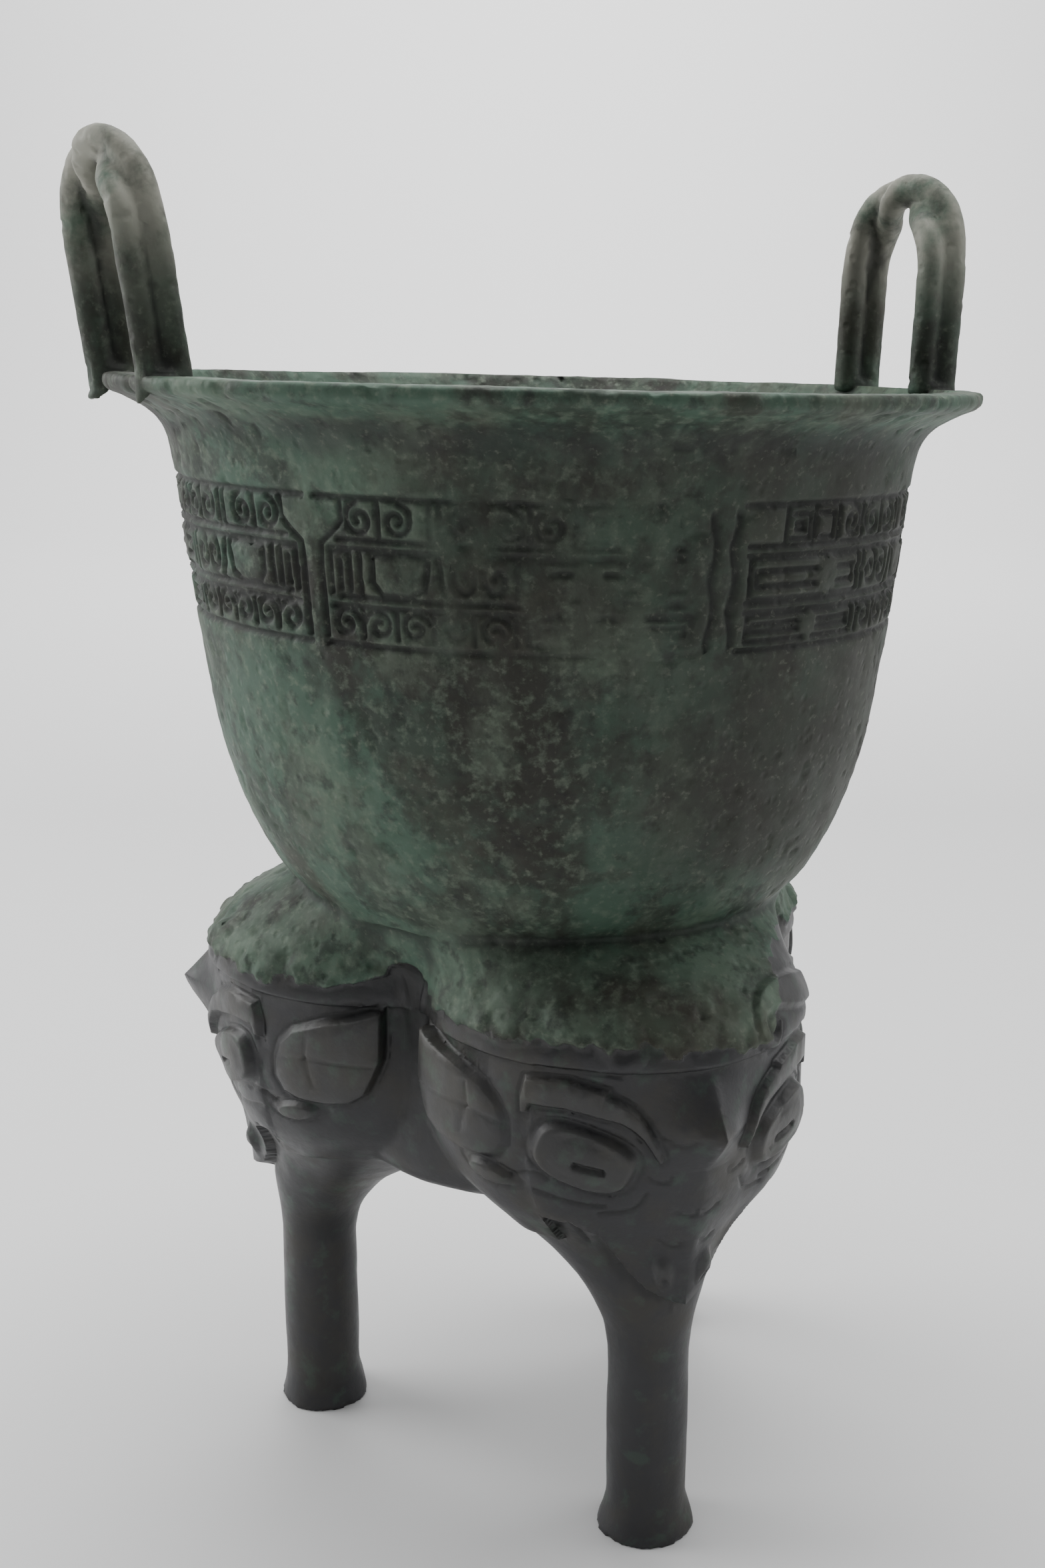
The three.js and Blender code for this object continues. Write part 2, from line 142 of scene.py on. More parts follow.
class YanPatinaColours(bpy.types.PropertyGroup):
    """Colours of the old bronze."""
    # Umber is a patina colour of the bowl, and is also painted as shade over one side and the front of the
    # bowl and at the handles' feet.
    umber: colour("Umber", "Dark brown-grey patches on the bowl", (0.021, 0.021, 0.015))
    teal: colour("Teal", "Green patina of the bowl", (0.052, 0.098, 0.067))
    verdigris: colour("Verdigris", "Palest green of the patina", (0.138, 0.180, 0.130))
    soot: colour("Soot", "Smooth grey-black of the boiler and legs", (0.026, 0.026, 0.028))
    worn: colour("Worn", "Rubbed beige-grey of the handles", (0.29, 0.285, 0.24))
    earth: colour("Earth", "Brown dirt on legs and lip", (0.050, 0.044, 0.031))
    # This dark colour is dirt in random patches, and also painted shade in grooves and hollows and a painted
    # shadow under the crust's ledge.
    dirt_and_shade: colour("Dirt", "Dark dirt in grooves and hollows", (0.008, 0.0085, 0.008))
    speckle: colour("Speckle", "Small pale mineral specks", (0.17, 0.18, 0.14))


class YanStageSettings(bpy.types.PropertyGroup):
    """The floor, the light and the camera."""
    floor_size: length("Floor size", "Half the floor's width", 3.0)
    floor_colour: colour("Floor colour", "Pale grey of the floor", (0.80, 0.80, 0.80))
    camera_distance: length("Camera distance", "Level distance of the camera from the axis", 0.62146)
    camera_height: length("Camera height", "Height of the camera over the floor", 0.39252)
    camera_turn: degrees("Camera turn", "Turn of the camera round the vessel", 25.52)
    camera_pitch: degrees("Camera pitch", "Look down", 15.476)
    camera_roll: degrees("Camera roll", "Roll", -0.0926)
    camera_yaw: degrees("Camera yaw", "Look aside", -0.567)
    lens: FloatProperty(name="Lens", description="Focal length in millimetres on a 36 mm high frame",
                        default=46.62)


def in_millimetres(group):
    """The group's values, with its lengths in millimetres."""
    values = {}
    for key, setting in group.bl_rna.properties.items():
        if key not in ("name", "rna_type"):
            value = getattr(group, key)
            values[key] = value / METRE if setting.unit == "LENGTH" else value
    return SimpleNamespace(**values)


# Shapes shared by all forms

LEG_TURNS = (0, 120, 240)

# Rows of a lobe: share of the height from leg top to shoulder, centre as a share of the foot circle, swell
LOBE_ROWS = ((0, 1, 0), (0.1, 0.987, 0.04), (0.21, 0.935, 0.155), (0.29, 0.85, 0.29), (0.37, 0.765, 0.465),
             (0.447, 0.69, 0.665), (0.544, 0.632, 0.87), (0.69, 0.612, 0.99), (0.854, 0.632, 1),
             (1, 0.664, 0.978))

# The bowl's outside from waist to lip: share of its height, share of its swell
BOWL_ROWS = ((0, 0), (0.075, 0.24), (0.215, 0.5), (0.395, 0.7), (0.57, 0.81), (0.74, 0.9), (1, 1))

# Underside of the lip: share of its overhang, share of its rise
FLARE_ROWS = ((0, 0), (0.1, 0.45), (0.3, 0.72), (0.66, 0.9))

# Edge of the jaw by angle off the nose, and reach of the nose ridge by height
JAW_EDGE = ((0, 85), (10, 86.2), (22, 89.5), (28, 95), (33, 109), (40, 113), (49.5, 114.2), (51, 104.5),
            (62, 104.5))
NOSE_RIDGE = ((84, 4.5), (96, 6.8), (108, 6), (120, 5.4), (134, 5.6), (146, 6.5), (158, 3), (166, 0.8),
              (171, 0))
NOSE_HALF_ANGLE = 34
NOSE_SHARPNESS = 1.7
FACE_HALF_ANGLE = 62
PLATE_FADE = 40
BEAK_TIPS = (145.4, 148.4, 151.4)
BEAK_TOP = 163.4
BEAK_HALF = 17
BEAK_DOWN = 13
BEAK_SHARPNESS = 1.6

# A handle's root in the rim, the reach over which its foot drops, and its strands' swell at the arch's top
FOOT_ROOT = 2
GRIP_REACH = 3
ARCH_SWELL = 0.14

# Carving of a half mask: side distance from the nose line, height and half width
BROW_BAR = ((52.6, 159.6), (53.6, 153.6), (53, 148.4), (50.4, 148.6), (49.8, 151.4), (40, 151.6),
            (29.5, 149.6), (28, 157.6), (40, 160.6))
BROW_CURL = ((31, 153.6, 3.9), (22.5, 150.4, 2.8), (16.6, 144.6, 1.7), (12.6, 136.8, 0.9))
HORN = ((60, 171.4, 4.4), (44, 174.6, 4.4), (29, 176.6, 3.2), (20.8, 173.8, 2.6), (20.4, 167.6, 2.2),
        (26, 165.4, 1.9), (29.4, 170, 1.4))
EAR = ((98, 164), (88, 161), (78, 159), (66, 154.8), (60, 149.4), (57, 143.6), (56.6, 137.4), (60, 132.6),
       (66, 131), (75, 131), (83, 132.4), (89, 136), (95, 147))
EAR_MIDDLE = 76
EAR_GROWTH = 0.036
EAR_VEINS = (((91, 146), (70.4, 146.2), (57.5, 143.2)), ((70.4, 146.2), (71.6, 153)),
             ((70.4, 146.2), (72.1, 138)))
EYE_MIDDLE = (33.8, 136.6)
EYE_HALF = (15.4, 8.9)
EYE_LEAN = 20
EYE_SLIT = ((28.6, 133.8), (36, 135.9))
SMALL_OVAL = (64, 126.8)
SMALL_OVAL_HALF = (9.2, 3.2)
EYELIDS = (((49.3, 163.2), (37, 163.4), (24.8, 162)), ((49, 124.4), (38, 122), (28, 120.8)),
           ((56, 128), (48, 130.6), (44, 129)), ((15.6, 125), (20, 119.6), (30, 118.4)))
CRESCENTS = ((7.5, 107.8), (3.9, 119.3), (12.5, 131), (9, 144))
CRESCENT_HALF = (3.6, 2.1)
NOSTRIL = (10.5, 96)
NOSTRIL_HALF = (5.4, 6.4)
NOSTRIL_PIT = (10.4, 93.4)
JAW_NOTCH = ((41, 113, 0.5), (41, 105, 0.5))

# Where the mask's carving starts, and the angle and heights within which the skin is finer for it
MASK_FOOT = 84
MASK_ANGLE = 118
MASK_HEIGHTS = (80, 184)

# The crust's lower edge: its height, and its rise into a cleft and left of a nose
CRUST_EDGE = 168
CLEFT_RISE = 11
LEFT_RISE = 2
BARE_DROP = 16

# Height, size and seed of each grain of lumps, on the casting and along the crust's edge
CAST_LUMPS = ((0.35, 34, 1), (0.22, 13, 2), (0.1, 5, 3))
EDGE_LUMPS = ((2.6, 11, 4), (2.2, 4.5, 13), (1.2, 2, 14))

# Lobe, side, height and radius of the nodules on the crust's edge
NODULES = ((0, -41.2, 174.7, 4.4), (0, -29.6, 171, 3.2), (2, 24, 173, 4), (2, -12, 171, 3),
           (1, -30, 172, 3.4))
NODULE_HEIGHT = 1.2

# Turns over which patches start and end: crust-free side, and the side and front of the bowl that are painted
# darker as shade
BARE_SIDE = ((13, 24), (60, 80))
SHADE_SIDE = ((-34, 12), (58, 100))
SHADE_FRONT = ((-52, -38), (58, 100))

# Steps in which the band wears away, each with its share and turns, and the turns where it is sharp again
WORN_STEPS = ((0.6, -46, -37), (0.4, -22, -12))
SHARP_AGAIN = (-3, 5)

# The band round the bowl: heights of its rows, turn of a nose and reach of the divider from it
BAND_TOP = 317.6
BAND_BOTTOM = 279
UPPER_BAR = 305.6
LOWER_BAR = 290.6
MASK_TURN = -59.6
DIVIDER_REACH = 117

SEAM_HEIGHT = 0.55

# Patches of a colour over what lies below: scale, cover, soft edge and strength
BROWN_PATCHES = (("umber", 46.0, 0.52, 0.05, 0.6),)
PALE_RUNS = (("verdigris", 34.0, 0.56, 0.09, 0.45),)
CRUST_PATCHES = (("verdigris", 260.0, 0.58, 0.1, 0.45), ("dirt_and_shade", 150.0, 0.6, 0.09, 0.6),
                 ("earth", 24.0, 0.6, 0.08, 0.5))
SOOT_PATCHES = (("earth", 45.0, 0.56, 0.12, 0.4), ("teal", 120.0, 0.6, 0.08, 0.3))

# Strength of the masks in the bronze
BLOOM = 0.65
RUBBED = 0.9
RAISED = 0.05
# Strength of the dirt and painted shade that darken grooves and hollows.
RECESS_DIRT_AND_SHADE = 0.8
SPECKLED = 0.3

# Lamps: name, turn off the camera's side, height, distance from the axis, size and power
LAMPS = (("top", 175, 1.7, 0.35, 1.3, 28), ("left", -105, 0.75, 1.3, 1.1, 15),
         ("right", 100, 0.85, 1.3, 1.1, 7))
LAMP_AIM = 0.2

# The lamp on the backdrop: place in shares of the floor's half width, aim, size and power
WASH_PLACE = (0, 0.45, 0.6)
WASH_AIM = (0, 1, -0.35)
WASH_SIZE = 0.5
WASH_POWER = 80
ROOM_COLOUR = (0.86, 0.87, 0.88, 1)
ROOM_STRENGTH = 0.42


def smooth_rows(rows, count=12):
    """A rounded curve through rows of points, with count steps between two rows."""
    points = np.array(rows, float)
    padded = np.vstack([2 * points[0] - points[1], points, 2 * points[-1] - points[-2]])
    out = []
    for before, start, end, after in zip(padded[:-3], padded[1:-2], padded[2:-1], padded[3:]):
        t = np.linspace(0, 1, count, endpoint=False)[:, None]
        rise = (end - before) / 2
        fall = (after - start) / 2
        out.append(start * (2 * t ** 3 - 3 * t ** 2 + 1) + rise * (t ** 3 - 2 * t ** 2 + t)
                   + end * (3 * t ** 2 - 2 * t ** 3) + fall * (t ** 3 - t ** 2))
    out.append(points[-1:])
    return np.vstack(out)


def ease(value, low, high):
    """A soft step from 0 at low to 1 at high."""
    t = np.clip((value - low) / (high - low), 0, 1)
    return t * t * (3 - 2 * t)


def between(value, up, down):
    """A soft step up over one range and back down over another."""
    return ease(value, *up) * (1 - ease(value, *down))


def hump(value, half, middle=0):
    """A soft bump of height 1 round a middle."""
    return np.exp(-((value - middle) / half) ** 2)


def polar(distance, turn, z):
    """Points at a distance from the axis in the direction of a turn."""
    turn = np.radians(turn)
    return np.stack(np.broadcast_arrays(distance * np.sin(turn), -distance * np.cos(turn), z), axis=-1)


def along_turn(points, turn):
    """Distance along a turn's direction."""
    turn = np.radians(turn)
    return points[:, 0] * np.sin(turn) - points[:, 1] * np.cos(turn)


def lumps(points, size, seed):
    """A smooth random swell between -1 and 1, with lumps of a size."""
    lattice = np.random.default_rng(seed).uniform(-1, 1, (48, 48, 48))
    cells = points / size
    base = np.floor(cells).astype(int)
    part = cells - base
    part = part * part * (3 - 2 * part)
    total = np.zeros(len(points))
    for corner in itertools.product((0, 1), repeat=3):
        weight = np.prod(np.where(corner, part, 1 - part), axis=1)
        total += weight * lattice[tuple(((base + corner) % 48).T)]
    return total


def grains(points, layers):
    """Several grains of lumps together."""
    return sum(height * lumps(points, size, seed) for height, size, seed in layers)


# Distances to the drawn shapes

def path_gap(s, z, path, reach=4):
    """Distance from a ribbon's edge, negative inside. Its points are side, height and half width."""
    path = [tuple(point) + (0,) * (3 - len(point)) for point in path]
    gap = np.full(s.shape, 99.0)
    for (s0, z0, h0), (s1, z1, h1) in zip(path[:-1], path[1:]):
        margin = max(h0, h1) + reach
        near = (s > min(s0, s1) - margin) & (s < max(s0, s1) + margin)
        near &= (z > min(z0, z1) - margin) & (z < max(z0, z1) + margin)
        a, b = s[near] - s0, z[near] - z0
        t = np.clip((a * (s1 - s0) + b * (z1 - z0)) / ((s1 - s0) ** 2 + (z1 - z0) ** 2), 0, 1)
        away = np.hypot(a - t * (s1 - s0), b - t * (z1 - z0)) - (h0 + t * (h1 - h0))
        gap[near] = np.minimum(gap[near], away)
    return gap


def outline_gap(s, z, outline):
    """Distance from a closed outline, negative inside."""
    gap = path_gap(s, z, list(outline) + [outline[0]])
    inside = np.zeros(s.shape, bool)
    for (s0, z0), (s1, z1) in zip(outline, list(outline[1:]) + [outline[0]]):
        crosses = (z0 > z) != (z1 > z)
        slope = (s1 - s0) / (z1 - z0) if z1 != z0 else 0
        inside ^= crosses & (s < s0 + (z - z0) * slope)
    return np.where(inside, -np.abs(gap), np.abs(gap))


def oval_gap(s, z, middle, half, lean=0, square=2):
    """Distance from a rounded oblong's edge, about true near it."""
    turn = math.radians(lean)
    a = (s - middle[0]) * math.cos(turn) + (z - middle[1]) * math.sin(turn)
    b = (z - middle[1]) * math.cos(turn) - (s - middle[0]) * math.sin(turn)
    share = (np.abs(a / half[0]) ** square + np.abs(b / half[1]) ** square) ** (1 / square)
    return (share - 1) * min(half)


def raised(gap, relief, bevel=1.3, crown=0.0):
    """Height of a raised shape with a thin groove cut round it."""
    top = relief * (1 - ease(gap, -bevel, 0.15))
    top = top + crown * ease(-gap, 0, 6)
    return top - 0.4 * hump(gap, 0.65, 0.75)


def grooved(gap, depth, half=0.9):
    """Depth of a groove along a line."""
    return -depth * hump(np.maximum(gap, 0), half)


def spiral(middle, size, start, turns, flip=1, tall=1.0):
    """A line that winds inwards to the middle."""
    share = np.linspace(0, 1, int(14 * turns) + 2)
    angle = np.radians(start) + flip * share * turns * 2 * math.pi
    reach = size * (1 - 0.82 * share)
    return [(middle[0] + r * math.cos(a), middle[1] + tall * r * math.sin(a)) for r, a in zip(reach, angle)]


def nest(left, right, low, high, steps, pitch=3.4, open_end="right"):
    """Rectangles one inside another, each left open at one end."""
    lines = []
    for k in range(steps):
        inset = k * pitch
        a, b, c, d = left + inset, right - inset * 0.6, low + inset, high - inset
        if d - c < 1.5:
            break
        if open_end == "right":
            lines.append([(b, c), (a, c), (a, d), (b, d)])
        elif open_end == "low":
            lines.append([(a, c), (a, d), (b, d), (b, c)])
        else:
            lines.append([(a, c), (b, c), (b, d), (a, d)])
    return lines


def band_lines():
    """The grooves of half a band mask, from its nose to the divider."""
    lines = [
        [(10.4, BAND_TOP - 0.8), (10.2, 311.5), (7.5, 308.6), (3.4, 305.4), (3, 300), (3, 281)],
        [(2, BAND_TOP), (60, BAND_TOP), (DIVIDER_REACH - 6, BAND_TOP)],
        [(3, BAND_BOTTOM), (60, BAND_BOTTOM), (DIVIDER_REACH - 6, BAND_BOTTOM)],
    ]
    for bar in (UPPER_BAR, LOWER_BAR):
        lines.append([(9, bar + 1.2), (60, bar + 1.2), (DIVIDER_REACH - 8, bar + 1.2)])
        lines.append([(6, bar - 1.3), (60, bar - 1.3), (DIVIDER_REACH - 8, bar - 1.3)])
    # facing curls in the upper row
    for k, middle in enumerate((16.2, 27.2, 46.5, 57.5, 69)):
        flip = -1 if k % 2 else 1
        lines.append(spiral((middle, 312), 4.7, 100 if flip > 0 else 80, 1.35, flip))
    for post in (21.8, 36.6, 39.4, 52, 63.4, 75.6, 86, 97):
        lines.append([(post, BAND_TOP - 1), (post, UPPER_BAR + 1.4)])
    lines += nest(78, 84, 308.5, 315, 1)
    lines += nest(88, 95, 308.5, 315, 2, 2.4)
    # the eye and the bars beside it in the middle row
    lines.append([(19.4, 303), (19.2, 296), (22, 292.8), (30, 292.4), (34.6, 295), (36, 303.2), (28, 304),
                  (19.4, 303)])
    lines += nest(6, 12.2, 292.8, 303.6, 1, open_end="low")
    lines += [[(9.2, 301), (9.2, 294)], [(15.4, 304), (15.2, 292.4)]]
    lines.append([(38.6, 304), (39.4, 297), (41.6, 292)])
    for middle in (46.4, 54.6):
        lines.append(spiral((middle, 298.4), 4.4, 90, 1.2, 1, 1.3))
    lines.append([(60, 303.6), (60, 292.6)])
    lines += nest(63, 76, 292.8, 303.6, 2)
    lines += nest(80, 108, 292.6, 303.8, 2, 3.6, "left")
    # hooks and curls in the lower row
    for k, middle in enumerate((10, 20.6, 31.4, 42.6, 54)):
        lines.append(spiral((middle, 284.8), 4.6, 170 if k % 2 else 20, 1.25, -1 if k % 2 else 1, 0.95))
        lines.append([(middle + 5.4, LOWER_BAR - 1.4), (middle + 5.4, 281.4)])
    lines += nest(63, 82, 281.4, 288.6, 2, 2.6)
    lines += nest(86, 108, 281.4, 288.6, 2, 2.6, "left")
    return lines


def band_relief(points, places):
    """Carving round the bowl, as a share of its depth, rubbed away in patches but for its dividers."""
    side = (places.turn - MASK_TURN + 60) % 120 - 60
    s = np.abs(side) / 60 * DIVIDER_REACH
    depth = np.zeros(s.shape)
    ring = (places.z > BAND_BOTTOM - 4) & (places.z < BAND_TOP + 4)
    s, z = s[ring], places.z[ring]
    gap = np.full(s.shape, 99.0)
    for line in band_lines():
        gap = np.minimum(gap, path_gap(s, z, line))
    carved = hump(np.maximum(gap - 0.35, 0), 0.6) * wear_of(points[ring], places.turn[ring])
    divider = np.abs(s - DIVIDER_REACH + 3.2 + 0.8 * np.sin(z / 2.6))
    within = between(z, (BAND_BOTTOM - 1, BAND_BOTTOM + 2), (BAND_TOP - 3, BAND_TOP))
    depth[ring] = np.maximum(carved, hump(divider, 1.2) * within)
    return depth


def lobe_table(sizes):
    """Height, circle's distance from the axis and its radius, in close steps up a lobe."""
    rows = smooth_rows(LOBE_ROWS)
    z = sizes.leg_top + rows[:, 0] * (sizes.shoulder_height - sizes.leg_top)
    centre = rows[:, 1] * sizes.foot_circle
    radius = sizes.leg_radius + rows[:, 2] * (sizes.belly_radius - sizes.leg_radius)
    foot = np.linspace(0, sizes.foot_flare, 8)
    flare = (1 - foot / sizes.foot_flare) ** 2 * (sizes.foot_radius - sizes.leg_radius)
    t = np.linspace(0, 1, 25)[1:]
    reach = sizes.shoulder_reach + (sizes.waist_radius - sizes.shoulder_reach) * t ** 2
    inward = sizes.shoulder_centre + (sizes.waist_centre - sizes.shoulder_centre) * t ** 3
    return np.vstack([
        np.stack([foot, np.full(8, sizes.foot_circle), sizes.leg_radius + flare], 1),
        np.stack([z, centre, radius], 1),
        np.stack([sizes.shoulder_height + t * (sizes.waist_height - sizes.shoulder_height), inward,
                  reach - inward], 1),
    ])


def bowl_table(sizes):
    """Radius and height up the bowl's outside, from the waist to the foot of the lip's flare."""
    rows = smooth_rows(BOWL_ROWS)
    foot = sizes.waist_height + sizes.bowl_height - sizes.lip_flare
    return np.stack([
        sizes.waist_radius + rows[:, 1] * (sizes.bowl_radius - sizes.waist_radius),
        sizes.waist_height + rows[:, 0] * (foot - sizes.waist_height),
    ], 1)


# Making the forms

def deselect():
    """Nothing selected, in object mode."""
    if bpy.context.object and bpy.context.object.mode != "OBJECT":
        bpy.ops.object.mode_set(mode="OBJECT")
    bpy.ops.object.select_all(action="DESELECT")


def activate(piece):
    """One piece selected and active."""
    deselect()
    piece.select_set(True)
    bpy.context.view_layer.objects.active = piece


def points_of(piece):
    """The piece's points in millimetres."""
    flat = np.empty(len(piece.data.vertices) * 3)
    piece.data.vertices.foreach_get("co", flat)
    return flat.reshape(-1, 3) / METRE


def put_points(piece, points):
    """Moves the piece's points, given in millimetres."""
    piece.data.vertices.foreach_set("co", (points * METRE).ravel())
    piece.data.update()


def normals_of(piece):
    """The piece's point normals."""
    flat = np.empty(len(piece.data.vertices) * 3, np.float32)
    piece.data.vertex_normals.foreach_get("vector", flat)
    return flat.reshape(-1, 3).astype(float)


def rolled(name, columns, rows, place):
    """A grid rolled into a closed skin. place gives points for the shares of the way round and up."""
    deselect()
    bpy.ops.mesh.primitive_grid_add(x_subdivisions=columns, y_subdivisions=rows, size=1)
    piece = bpy.context.object
    piece.name = name
    flat = points_of(piece) * METRE
    put_points(piece, place(flat[:, 0] + 0.5, flat[:, 1] + 0.5))
    bpy.ops.object.mode_set(mode="EDIT")
    bpy.ops.mesh.select_all(action="SELECT")
    bpy.ops.mesh.remove_doubles(threshold=WELD)
    bpy.ops.mesh.fill_holes(sides=0)
    bpy.ops.mesh.select_all(action="SELECT")
    bpy.ops.mesh.normals_make_consistent(inside=False)
    bpy.ops.object.mode_set(mode="OBJECT")
    return piece


def turned(name, profile, sides=144):
    """A turned form from radius and height points that start and end on the axis."""
    steps = np.arange(len(profile))

    def place(u, v):
        at = v * steps[-1]
        return polar(np.interp(at, steps, profile[:, 0]), u * 360, np.interp(at, steps, profile[:, 1]))

    return rolled(name, sides, len(profile) - 1, place)


def bowl_form(sizes):
    """The bowl's outside, filled, with its flared lip."""
    swell = bowl_table(sizes)
    rim = sizes.waist_height + sizes.bowl_height
    foot = rim - sizes.lip_flare
    over = sizes.rim_radius - sizes.bowl_radius
    rise = sizes.lip_flare - sizes.lip_face
    flare = [(sizes.bowl_radius + over * out, foot + rise * up) for out, up in FLARE_ROWS]
    flare = smooth_rows(flare + [(sizes.rim_radius - 0.6, foot + rise)], 6)
    below = sizes.waist_height - 2
    lip = [(sizes.rim_radius, rim - sizes.lip_face * 0.6), (sizes.rim_radius, rim - 0.5),
           (sizes.rim_radius - 0.8, rim), (0, rim)]
    return turned("bowl", np.vstack([[(0, below), (sizes.waist_radius, below)], swell, flare[1:], lip]))


def bowl_hollow(sizes):
    """The space inside the bowl, running on over the rim."""
    rim = sizes.waist_height + sizes.bowl_height
    mouth = sizes.rim_radius - sizes.rim_width
    inner = bowl_table(sizes) - (sizes.wall, 0)
    start = (inner[0][0] - sizes.wall, sizes.waist_height - 1)
    flare = smooth_rows([inner[-1], (sizes.bowl_radius - sizes.wall + 3, rim - sizes.lip_flare * 0.5),
                         (mouth - 4, rim - sizes.lip_face), (mouth, rim + 0.4)], 6)
    above = rim + 6
    return turned("bowl_hollow", np.vstack([[(0, start[1]), start], inner[1:], flare[1:],
                                            [(mouth + 1, above), (0, above)]]))


def core_form(sizes, inset=0.0):
    """The boiler's middle, whose side is the floor of the clefts and whose underside tops the arches."""
    radius = sizes.cleft_radius - inset
    floor = sizes.arch_height + inset
    top = sizes.waist_height - 1
    corner = []
    for t in np.linspace(0, math.pi / 2, 7):
        corner.append((radius - sizes.arch_rounding * (1 - math.sin(t)),
                       floor + sizes.arch_rounding * (1 - math.cos(t))))
    side = sizes.shoulder_height + 0.3 * (sizes.waist_height - sizes.shoulder_height)
    profile = [(0, floor)] + corner + [(radius, side), (sizes.waist_radius - inset - 3, top), (0, top)]
    return turned("core", np.array(profile))


def lobe_form(sizes, turn, inset=0.0):
    """One lobe, on its leg where it isn't the hollow inside one."""
    table = lobe_table(sizes)
    low = sizes.pocket_floor if inset else 0

    def place(u, v):
        z = low + v * (sizes.waist_height - low)
        centre = np.interp(z, table[:, 0], table[:, 1])
        radius = np.interp(z, table[:, 0], table[:, 2]) - inset
        if inset:
            radius = radius * (0.4 + 0.6 * ease(v, -0.02, 0.06))
        return polar(centre, turn, z) + polar(radius, turn + u * 360, 0)

    return rolled("lobe", 72, 110, place)


def handles_of(sizes):
    """Turn, skew, rise and lean of each handle."""
    return (
        (sizes.left_turn, sizes.left_skew, sizes.left_rise, sizes.left_lean),
        (sizes.right_turn, sizes.right_skew, sizes.right_rise, sizes.right_lean),
    )


def strand_form(sizes, handle, side):
    """One of a handle's two strands: side 1 starts outside, side -1 inside."""
    turn, skew, height, tilt = handle
    facing = turn + skew
    rim = sizes.waist_height + sizes.bowl_height
    rise = height - sizes.strand_radius
    straight = rise - sizes.handle_spread
    arch = math.pi * sizes.handle_spread

    def place(u, v):
        way = v * (2 * straight + arch)
        bend = np.clip((way - straight) / sizes.handle_spread, 0, math.pi)
        up = np.minimum(way, straight) + sizes.handle_spread * np.sin(bend)
        up = up - np.maximum(0, way - straight - arch)
        aside = -sizes.handle_spread * np.cos(bend)
        twist = 2 * math.pi * ease(bend, 0.15, math.pi - 0.15)
        thick = 1 + ARCH_SWELL * np.sin(bend)
        radius = sizes.strand_radius * thick
        x = side * sizes.strand_gap / thick + radius * np.cos(u * 2 * math.pi)
        y = radius * np.sin(u * 2 * math.pi)
        outward = x * np.cos(twist) - y * np.sin(twist)
        inner = x * np.sin(twist) + y * np.cos(twist)
        reach = sizes.rim_radius - sizes.handle_inset + tilt * up / rise
        points = polar(reach, turn, rim + up + inner * np.sin(bend))
        points = points + polar(outward, facing, 0) + polar(aside - inner * np.cos(bend), facing + 90, 0)
        outside = np.hypot(points[:, 0], points[:, 1]) - sizes.rim_radius
        drop = FOOT_ROOT + (sizes.grip_depth - FOOT_ROOT) * ease(outside, -GRIP_REACH, 0)
        points[:, 2] -= np.where((v < 1e-6) | (v > 1 - 1e-6), drop, 0)
        return points

    return rolled("strand", 20, 150, place)


def weld_form(sizes, handle, aside):
    """The lump of metal that joins a handle's foot to the rim."""
    turn, skew, _, _ = handle
    rim = sizes.waist_height + sizes.bowl_height
    foot = polar(sizes.rim_radius - sizes.handle_inset, turn, rim) + polar(aside, turn + skew + 90, 0)
    half = (sizes.strand_radius + sizes.strand_gap + 0.4, sizes.strand_radius + 1.2, 3)

    def place(u, v):
        turn_round = u * 2 * math.pi
        up = (v - 0.5) * math.pi
        x = half[0] * np.cos(up) * np.cos(turn_round)
        y = half[1] * np.cos(up) * np.sin(turn_round)
        return foot + polar(x, turn + skew, half[2] * np.sin(up)) + polar(y, turn + skew + 90, 0)

    return rolled("weld", 20, 12, place)


def joined(pieces, name):
    """The pieces as one object."""
    deselect()
    for piece in pieces:
        piece.select_set(True)
    bpy.context.view_layer.objects.active = pieces[0]
    bpy.ops.object.join()
    pieces[0].name = name
    return pieces[0]


def apply_modifier(piece, kind, **settings):
    """Adds a modifier, sets it and applies it."""
    activate(piece)
    modifier = piece.modifiers.new(kind.title(), kind)
    for key, value in settings.items():
        setattr(modifier, key, value)
    bpy.ops.object.modifier_apply(modifier=modifier.name)


def merged_skin(pieces, name, voxel, rounds):
    """One closed skin round overlapping forms, with its joints eased."""
    skin = joined(pieces, name)
    apply_modifier(skin, "REMESH", mode="VOXEL", voxel_size=voxel)
    apply_modifier(skin, "SMOOTH", factor=0.5, iterations=rounds)
    return skin


def combine(skin, other, operation):
    """Adds or cuts one skin by another, which goes."""
    apply_modifier(skin, "BOOLEAN", object=other, operation=operation, solver="MANIFOLD")
    bpy.data.objects.remove(other)


def body_skin(sizes, grain):
    """Bowl, boiler and legs, hollow."""
    outside = [bowl_form(sizes), core_form(sizes)] + [lobe_form(sizes, turn) for turn in LEG_TURNS]
    inside = [bowl_hollow(sizes), core_form(sizes, sizes.wall)]
    inside += [lobe_form(sizes, turn, sizes.wall) for turn in LEG_TURNS]
    skin = merged_skin(outside, "vessel_skin", grain, 7)
    combine(skin, merged_skin(inside, "hollow", 2 * grain, 4), "DIFFERENCE")
    return skin


def handle_skin(sizes, handle, grain):
    """A handle of two strands, with the lumps at its feet."""
    forms = [strand_form(sizes, handle, side) for side in (1, -1)]
    forms += [weld_form(sizes, handle, aside) for aside in (-sizes.handle_spread, sizes.handle_spread)]
    return merged_skin(forms, "handle", 0.75 * grain, 3)


def subdivide_where(piece, chosen):
    """Splits the chosen faces in four."""
    activate(piece)
    bpy.ops.object.mode_set(mode="EDIT")
    bpy.ops.mesh.select_mode(type="FACE")
    bpy.ops.mesh.select_all(action="DESELECT")
    bpy.ops.object.mode_set(mode="OBJECT")
    piece.data.polygons.foreach_set("select", chosen(face_middles(piece)))
    bpy.ops.object.mode_set(mode="EDIT")
    bpy.ops.mesh.subdivide(number_cuts=1)
    bpy.ops.object.mode_set(mode="OBJECT")


